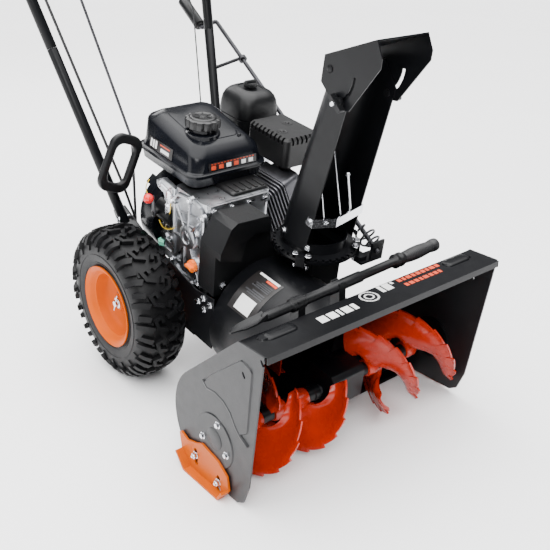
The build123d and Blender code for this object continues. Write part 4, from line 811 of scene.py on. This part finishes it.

# ------------------------------------------------------------------ cooling shroud sheet, its dark top partly painted shade under the tank
bm = bmesh.new()
stack(bm, [
    [unit(x, y, z) for x, y in rounded_rect(16, 352, 92 - 2 * inset, 74 - 2 * inset, 8)]
    for z, inset in ((261.6, 0), (265, 0), (267.4, 1.5), (268.4, 4), (268.6, 10))
])
for k in range(5):
    x = -20 + 16 * k
    louvre = ((x, 267), (x + 8, 267), (x + 7, 270.4), (x + 1, 270.4))
    stack(bm, [[unit(u, y, z) for u, z in louvre] for y in (318, 330, 352)])
finish_mesh("shroud_sheet_and_painted_shade", bm, HEAT_PAINT, "machine", sharp=40)

# ------------------------------------------------------------------ printed marks, kept generic
TOP_Z = 328.0
MARKS = bmesh.new()
WHITE, AMBER, DARK, GREY = 0, 1, 2, 3


def bar(x, y, w, h, mat, turn=0.0, slant=0.0):
    """Thin printed bar on the top plate, centred at x, y."""
    points = []
    for u, v in ((-w / 2, -h / 2), (w / 2, -h / 2), (w / 2, h / 2), (-w / 2, h / 2)):
        u += slant * v
        points.append(Vector((x + u * math.cos(turn) - v * math.sin(turn),
                              y + u * math.sin(turn) + v * math.cos(turn), TOP_Z + 0.02)) * MM)
    plate(MARKS, points, 0.25, mat)


SLANT = 0.12                     # lean of the bars, as of italic type
ROUNDEL = (-16.0, -499.0)
BLOCKS = (17, 17, 6, 17, 9)
for k, w in enumerate(BLOCKS):
    bar(-140 + sum(BLOCKS[:k]) + 4.5 * k + w / 2, -509, w, 19, WHITE, slant=SLANT)
for count, radius, w, h in ((40, 16.5, 3.6, 1.6), (18, 8, 2.6, 3.2)):
    for k in range(count):
        a = 2 * math.pi * k / count
        bar(ROUNDEL[0] + radius * math.cos(a), ROUNDEL[1] + radius * math.sin(a), w, h, WHITE, a)
for x, y, w, h in ((20, -492, 8, 22), (36, -492, 16, 22), (52, -486, 6, 8)):
    bar(x, y, w, h, WHITE, slant=SLANT)
WIDTHS = (9, 7, 11, 8, 10, 9, 7, 12, 9)
for row, y in enumerate((-488, -507)):
    x = 66.0
    for k in range(len(WIDTHS) - row):
        w = WIDTHS[(k + 3 * row) % len(WIDTHS)]
        bar(x + w / 2, y, w, 10, AMBER, slant=SLANT)
        x += w + 3.4


DRUM_R = 125.3
DRUM_Z = 26.0


def drum_patch(a0, a1, y0, y1, lift, mat):
    """Label bent round the impeller drum, between two angles and two places along its shaft."""
    r0, r1 = DRUM_R + lift, DRUM_R + 0.3 + lift
    low, high = [], []
    count = 10
    for k in range(count + 1):
        a = math.radians(a0 + (a1 - a0) * k / count)
        for r, ring in ((r0, low), (r1, high)):
            x, z = r * math.cos(a), DRUM_Z + r * math.sin(a)
            ring.append([MARKS.verts.new(unit(x, y, z)) for y in (y0, y1)])
    faces = []
    for k in range(count):
        faces.append((high[k][0], high[k][1], high[k + 1][1], high[k + 1][0]))
        faces.append((low[k][0], low[k + 1][0], low[k + 1][1], low[k][1]))
        faces.append((low[k][0], high[k][0], high[k + 1][0], low[k + 1][0]))
        faces.append((low[k][1], low[k + 1][1], high[k + 1][1], high[k][1]))
    faces.append((low[0][0], low[0][1], high[0][1], high[0][0]))
    faces.append((low[-1][0], high[-1][0], high[-1][1], low[-1][1]))
    for face in faces:
        MARKS.faces.new(face).material_index = mat


drum_patch(104, 148, 138, 212, 0.0, DARK)
drum_patch(131, 145.5, 152, 196, 0.5, WHITE)
for k in range(3):
    drum_patch(126.6 - k * 2.1, 127.8 - k * 2.1, 148, (192, 200, 184)[k], 0.5, GREY)
for k in range(4):
    drum_patch(118.5 - k * 1.9, 119.5 - k * 1.9, 148, (196, 188, 192, 180)[k], 0.5, GREY)
drum_patch(108, 110.4, 146, 176, 0.5, AMBER)
drum_patch(104.8, 107.2, 146, 204, 0.5, WHITE)

MARK_Z = 298.0                   # height at which the tank wall offsets below are given
WALL_SLOPE = 0.155


def side_mark(y0, z0, y1, z1, mat, lift=0.0):
    """Mark on the sloping left wall of the tank."""
    plane = [(y0, z0), (y0, z1), (y1, z1), (y1, z0)]
    plate(MARKS, [unit(-87.8 - lift + (z - MARK_Z) * WALL_SLOPE, y, z) for y, z in plane], 0.3, mat)


def front_mark(x0, z0, x1, z1, mat, lift=0.0):
    """Mark on the sloping front wall of the tank."""
    plane = [(x0, z0), (x1, z0), (x1, z1), (x0, z1)]
    plate(MARKS, [unit(x, 367.7 - lift + (z - MARK_Z) * WALL_SLOPE, z) for x, z in plane], 0.3, mat)


side_mark(532, 299, 446, 322, DARK, 0.8)
for k in range(3):
    side_mark(527 - 9 * k, 303, 521 - 9 * k, 319, WHITE, 1.1)
side_mark(492, 315, 456, 317, AMBER, 1.1)
side_mark(488, 303, 458, 310, WHITE, 1.1)
front_mark(-52, 299, 66, 315, DARK, 0.8)
for k, mat in enumerate((AMBER, AMBER, WHITE, AMBER, WHITE, WHITE)):
    front_mark(-46 + 18.5 * k, 301, -35 + 18.5 * k, 309, mat, 1.1)
for k in range(14):
    front_mark(-46 + 7.8 * k, 311.4, -41.5 + 7.8 * k, 313, AMBER, 1.1)
finish_mesh("printed_marks", MARKS, [PRINT_WHITE, PRINT_ORANGE, PRINT_DARK, PRINT_GREY], "machine")

# ------------------------------------------------------------------ pressings of the housing
CREASE = [(-500, 141), (-492, 145), (-481, 150), (-468, 163), (-455, 184), (-437, 197), (-414, 202),
          (-390, 199), (-378, 210)]
CREASE_SECTION = ((-1, 0), (-0.4, 2.4), (0.4, 2.4), (1, 0), (0.4, -1), (-0.4, -1))
bm = bmesh.new()
for side in (-1, 1):
    path = [Vector((side * 280.3, y, z)) for y, z in CREASE]
    loops = []
    for i, point in enumerate(path):
        ahead = path[min(i + 1, len(path) - 1)] - path[max(i - 1, 0)]
        across = Vector((side, 0, 0)).cross(ahead.normalized())
        wide = 4.6 if 0 < i < len(path) - 1 else 1.5
        loops.append([(point + across * wide * u + Vector((side * h, 0, 0))) * MM
                      for u, h in CREASE_SECTION])
    stack(bm, loops)
finish_mesh("plate_creases", bm, PAINT_LIT_COPY, "machine", sharp=60)

bm = bmesh.new()
for side in (-1, 1):
    lathe(bm, AUGER + Vector((side * 0.2815, 0, 0)), (side, 0, 0),
          [(21, 0), (20.5, 1.2), (18, 2.2), (6, 2.6), (3, 2.6)], 40)
finish_mesh("bearing_covers", bm, PAINT_LIT_COPY, "machine", sharp=40)

bm = bmesh.new()
for cx in (-212, 214):
    loops = []
    for inset, z in ((0, 327), (0.5, 329), (3, 331.4), (6, 332.2), (12, 332.4)):
        outline = rounded_rect(cx, -497, 66 - 2 * inset, 26 - 2 * inset, 12 - inset * 0.9)
        loops.append([Vector((x, y, z)) * MM for x, y in outline])
    stack(bm, loops)
finish_mesh("plate_pads", bm, PAINT, "machine", sharp=50)

# ------------------------------------------------------------------ clean-out tool
TOOL = Matrix.Translation((0, -0.450, 0.340)) @ Matrix.Rotation(math.radians(3.15), 4, "Z")


def tool(x, y, z):
    """A point of the clean-out tool, x along it."""
    return TOOL @ (Vector((x, y, z)) * MM)


bm = bmesh.new()
axis = TOOL.to_3x3() @ Vector((1, 0, 0))
SHAFT = [
    (3, 0), (6.5, 3), (8.6, 14), (8.6, 62), (11.5, 65), (11.5, 92), (8.6, 95), (8.6, 150), (10.2, 152),
    (10.2, 232), (8.4, 235), (8.4, 318), (11, 322), (13.6, 325), (13.6, 329), (12, 331), (12, 336),
    (13.6, 338), (13.6, 342), (11, 345), (10.2, 350),
]
lathe(bm, tool(-222, 0, 0), axis, SHAFT, 32, mat=0)
grip = [(10.2, 0)]
for k in range(17):
    h = 3 + k * 4.4
    swell = 10.6 + 1.9 * math.sin(math.pi * min(1, k / 15))
    grip += [(swell, h), (swell + 0.7, h + 1.2), (swell + 0.7, h + 2.6), (swell, h + 3.6)]
grip += [(10.8, 80), (12.4, 82), (12.8, 90), (12.2, 95), (9, 97)]
lathe(bm, tool(128, 0, 0), axis, grip, 40, mat=1)
# shovel blade: place along the tool, width, height of the middle and thickness
BLADE = (
    (-286, 4, -3, 1.6), (-278, 12, -3, 2), (-262, 22, -3, 2.6), (-240, 24, -2, 3.4), (-226, 18, -1, 6),
    (-214, 15, 0, 11),
)
section = [(u, -1) for u in (-1, -0.5, 0, 0.5, 1)] + [(u, 1) for u in (1, 0.5, 0, -0.5, -1)]
loops = []
for x, w, drop, t in BLADE:
    loops.append([tool(x, w / 2 * u, drop + t / 2 * v + 3.5 * abs(u) ** 2) for u, v in section])
stack(bm, loops)
finish_mesh("ribbed_tool", bm, [PLASTIC, GRIP], "shovel_tool", sharp=40,
            stands_for=["clean_out_tool"])

# ------------------------------------------------------------------ ribbed handle grips
BEND = Vector((235.0, 334.2, 880.0))
RISE = math.radians(15.66)
for side in (-1, 1):
    bm = bmesh.new()
    start = Vector((side * BEND.x, BEND.y + 100 * math.cos(RISE), BEND.z + 100 * math.sin(RISE))) * MM
    rings = [(11.4, 0), (16.5, 0.4), (17, 3), (15, 5)]
    for k in range(20):
        h = 7 + k * 5.2
        rings += [(14.2, h), (14.9, h + 1.2), (14.9, h + 3.0), (14.2, h + 4.2)]
    rings += [(15, 112), (14.6, 115.5), (10, 117.6)]
    lathe(bm, start, (0, math.cos(RISE), math.sin(RISE)), rings, 40)
    finish_mesh(f"ribbed_grip_{'left' if side < 0 else 'right'}", bm, GRIP, "machine", sharp=40,
                stands_for=["handle_grips"] if side < 0 else ())

# ------------------------------------------------------------------ chute hardware
CHUTE_X, CHUTE_Y = 87.0, 190.0
CLAMP_ANGLES = (-150, -48, 70)


def on_ring(angle, z):
    """A bolt's place on the chute ring, angle in degrees."""
    a = math.radians(angle)
    return unit(CHUTE_X + 82 * math.cos(a), CHUTE_Y + 82 * math.sin(a), z)


bm = bmesh.new()
for angle in CLAMP_ANGLES:
    for spread in (-9, 9):
        hex_bolt(bm, on_ring(angle + spread, 200), unit_dir(0, 0, 1), 9, 5, 7)
        lathe(bm, on_ring(angle + spread, 178), unit_dir(0, 0, -1), [(3, -1), (3, 6), (2.4, 6.6)], 12)
finish_mesh("ring_bolts", bm, ZINC, "machine", sharp=28)

# hinge pins of the deflector in black, foot bolts in zinc
bm = bmesh.new()
for side in (-1, 1):
    lathe(bm, unit(CHUTE_X + side * 58, 146, 562), unit_dir(side, 0, 0),
          [(6.5, 0), (6.5, 4), (5, 5.2), (3, 5.6)], 20, mat=1)
    for y, z in ((143, 216), (214, 222)):
        hex_bolt(bm, unit(CHUTE_X + side * 63, y, z), unit_dir(side, 0, 0), 8, 4.5, 6)
finish_mesh("chute_bolts", bm, [ZINC, PAINT], "chute_turret", sharp=28)

# guard strip across the chute mouth, with its thin stays
GUARD = ((22.5, 152, -1.4), (22.5, 137, -1), (65, 118, 0), (151.5, 137, 1), (151.5, 152, 1.4))
bm = bmesh.new()
loops = []
for x, y, dx in GUARD:
    corners = ((dx, -1.4, 262), (dx, -1.4, 280), (-dx, 1.4, 280), (-dx, 1.4, 262))
    loops.append([unit(x + u, y + v, z) for u, v, z in corners])
stack(bm, loops)
for x in (18.0, 150.0):
    lathe(bm, unit(x, 146, 271), unit_dir(1, 0, 0), [(6, 0), (6, 6)], 20)
hex_bolt(bm, unit(46, 124.6, 271), unit_dir(0, -1, 0), 7, 4, 5.5)
finish_mesh("guard_strip", bm, ZINC, "chute_turret", sharp=28, stands_for=["chute_guard"])

STAYS = (
    ((46, 129, 268), (46, 159, 366), 1.1),
    ((84, 124, 268), (84, 170, 405), 1.3),
    ((118, 133, 264), (112, 150, 348), 2.6),
)
for index, (foot, top, radius) in enumerate(STAYS):
    middle = [(a + b) / 2 for a, b in zip(foot, top)]
    wire(f"guard_stay_{index}", [unit(*foot), unit(*middle), unit(*top)], radius, ZINC, "chute_turret")

bm = bmesh.new()
hex_bolt(bm, unit(112, 150, 347), unit_dir(-0.07, 0.2, 0.98), 8, 4.5, 6)
for side in (-1, 1):
    lathe(bm, unit(CHUTE_X + side * 75, 112.1, 514.3), unit_dir(side, 0, 0),
          [(4.6, 0), (4.6, 5), (3.6, 6)], 16)
finish_mesh("knob_tips", bm, ZINC, "chute_turret", sharp=28)

# ------------------------------------------------------------------ chute crank
# rod with a bend at the grip, and an open wire spiral at its foot
CRANK_R = 5.0
low, high, elbow = unit(176.1, 98, 184.6), Vector((0.250, 0.302, 0.670)), Vector((0.210, 0.305, 0.658))
along = (high - low).normalized()
across = (elbow - high).normalized()
rod_line = [low, (low + high) / 2, high - along * 0.014, high, high + across * 0.014,
            elbow - across * 0.012, elbow, elbow + along * 0.012, elbow + along * 0.1]
rod = wire("crank_rod", rod_line, CRANK_R, STEEL, "crank")
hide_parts("chute_crank")

SPIRAL_R = 0.019
SPIRAL_STEPS = 27                # twelve to a turn
spin = basis(along)
spiral = [low + along * 0.016]
for k in range(SPIRAL_STEPS + 1):
    a = 2 * math.pi * k / 12
    out = spin @ Vector((math.cos(a), math.sin(a), 0)) * SPIRAL_R
    spiral.append(low + along * (0.020 + 0.040 * k / SPIRAL_STEPS) + out)
spiral.append(low + along * 0.064)
wire("crank_spiral", spiral, 2.3, STEEL, "crank")
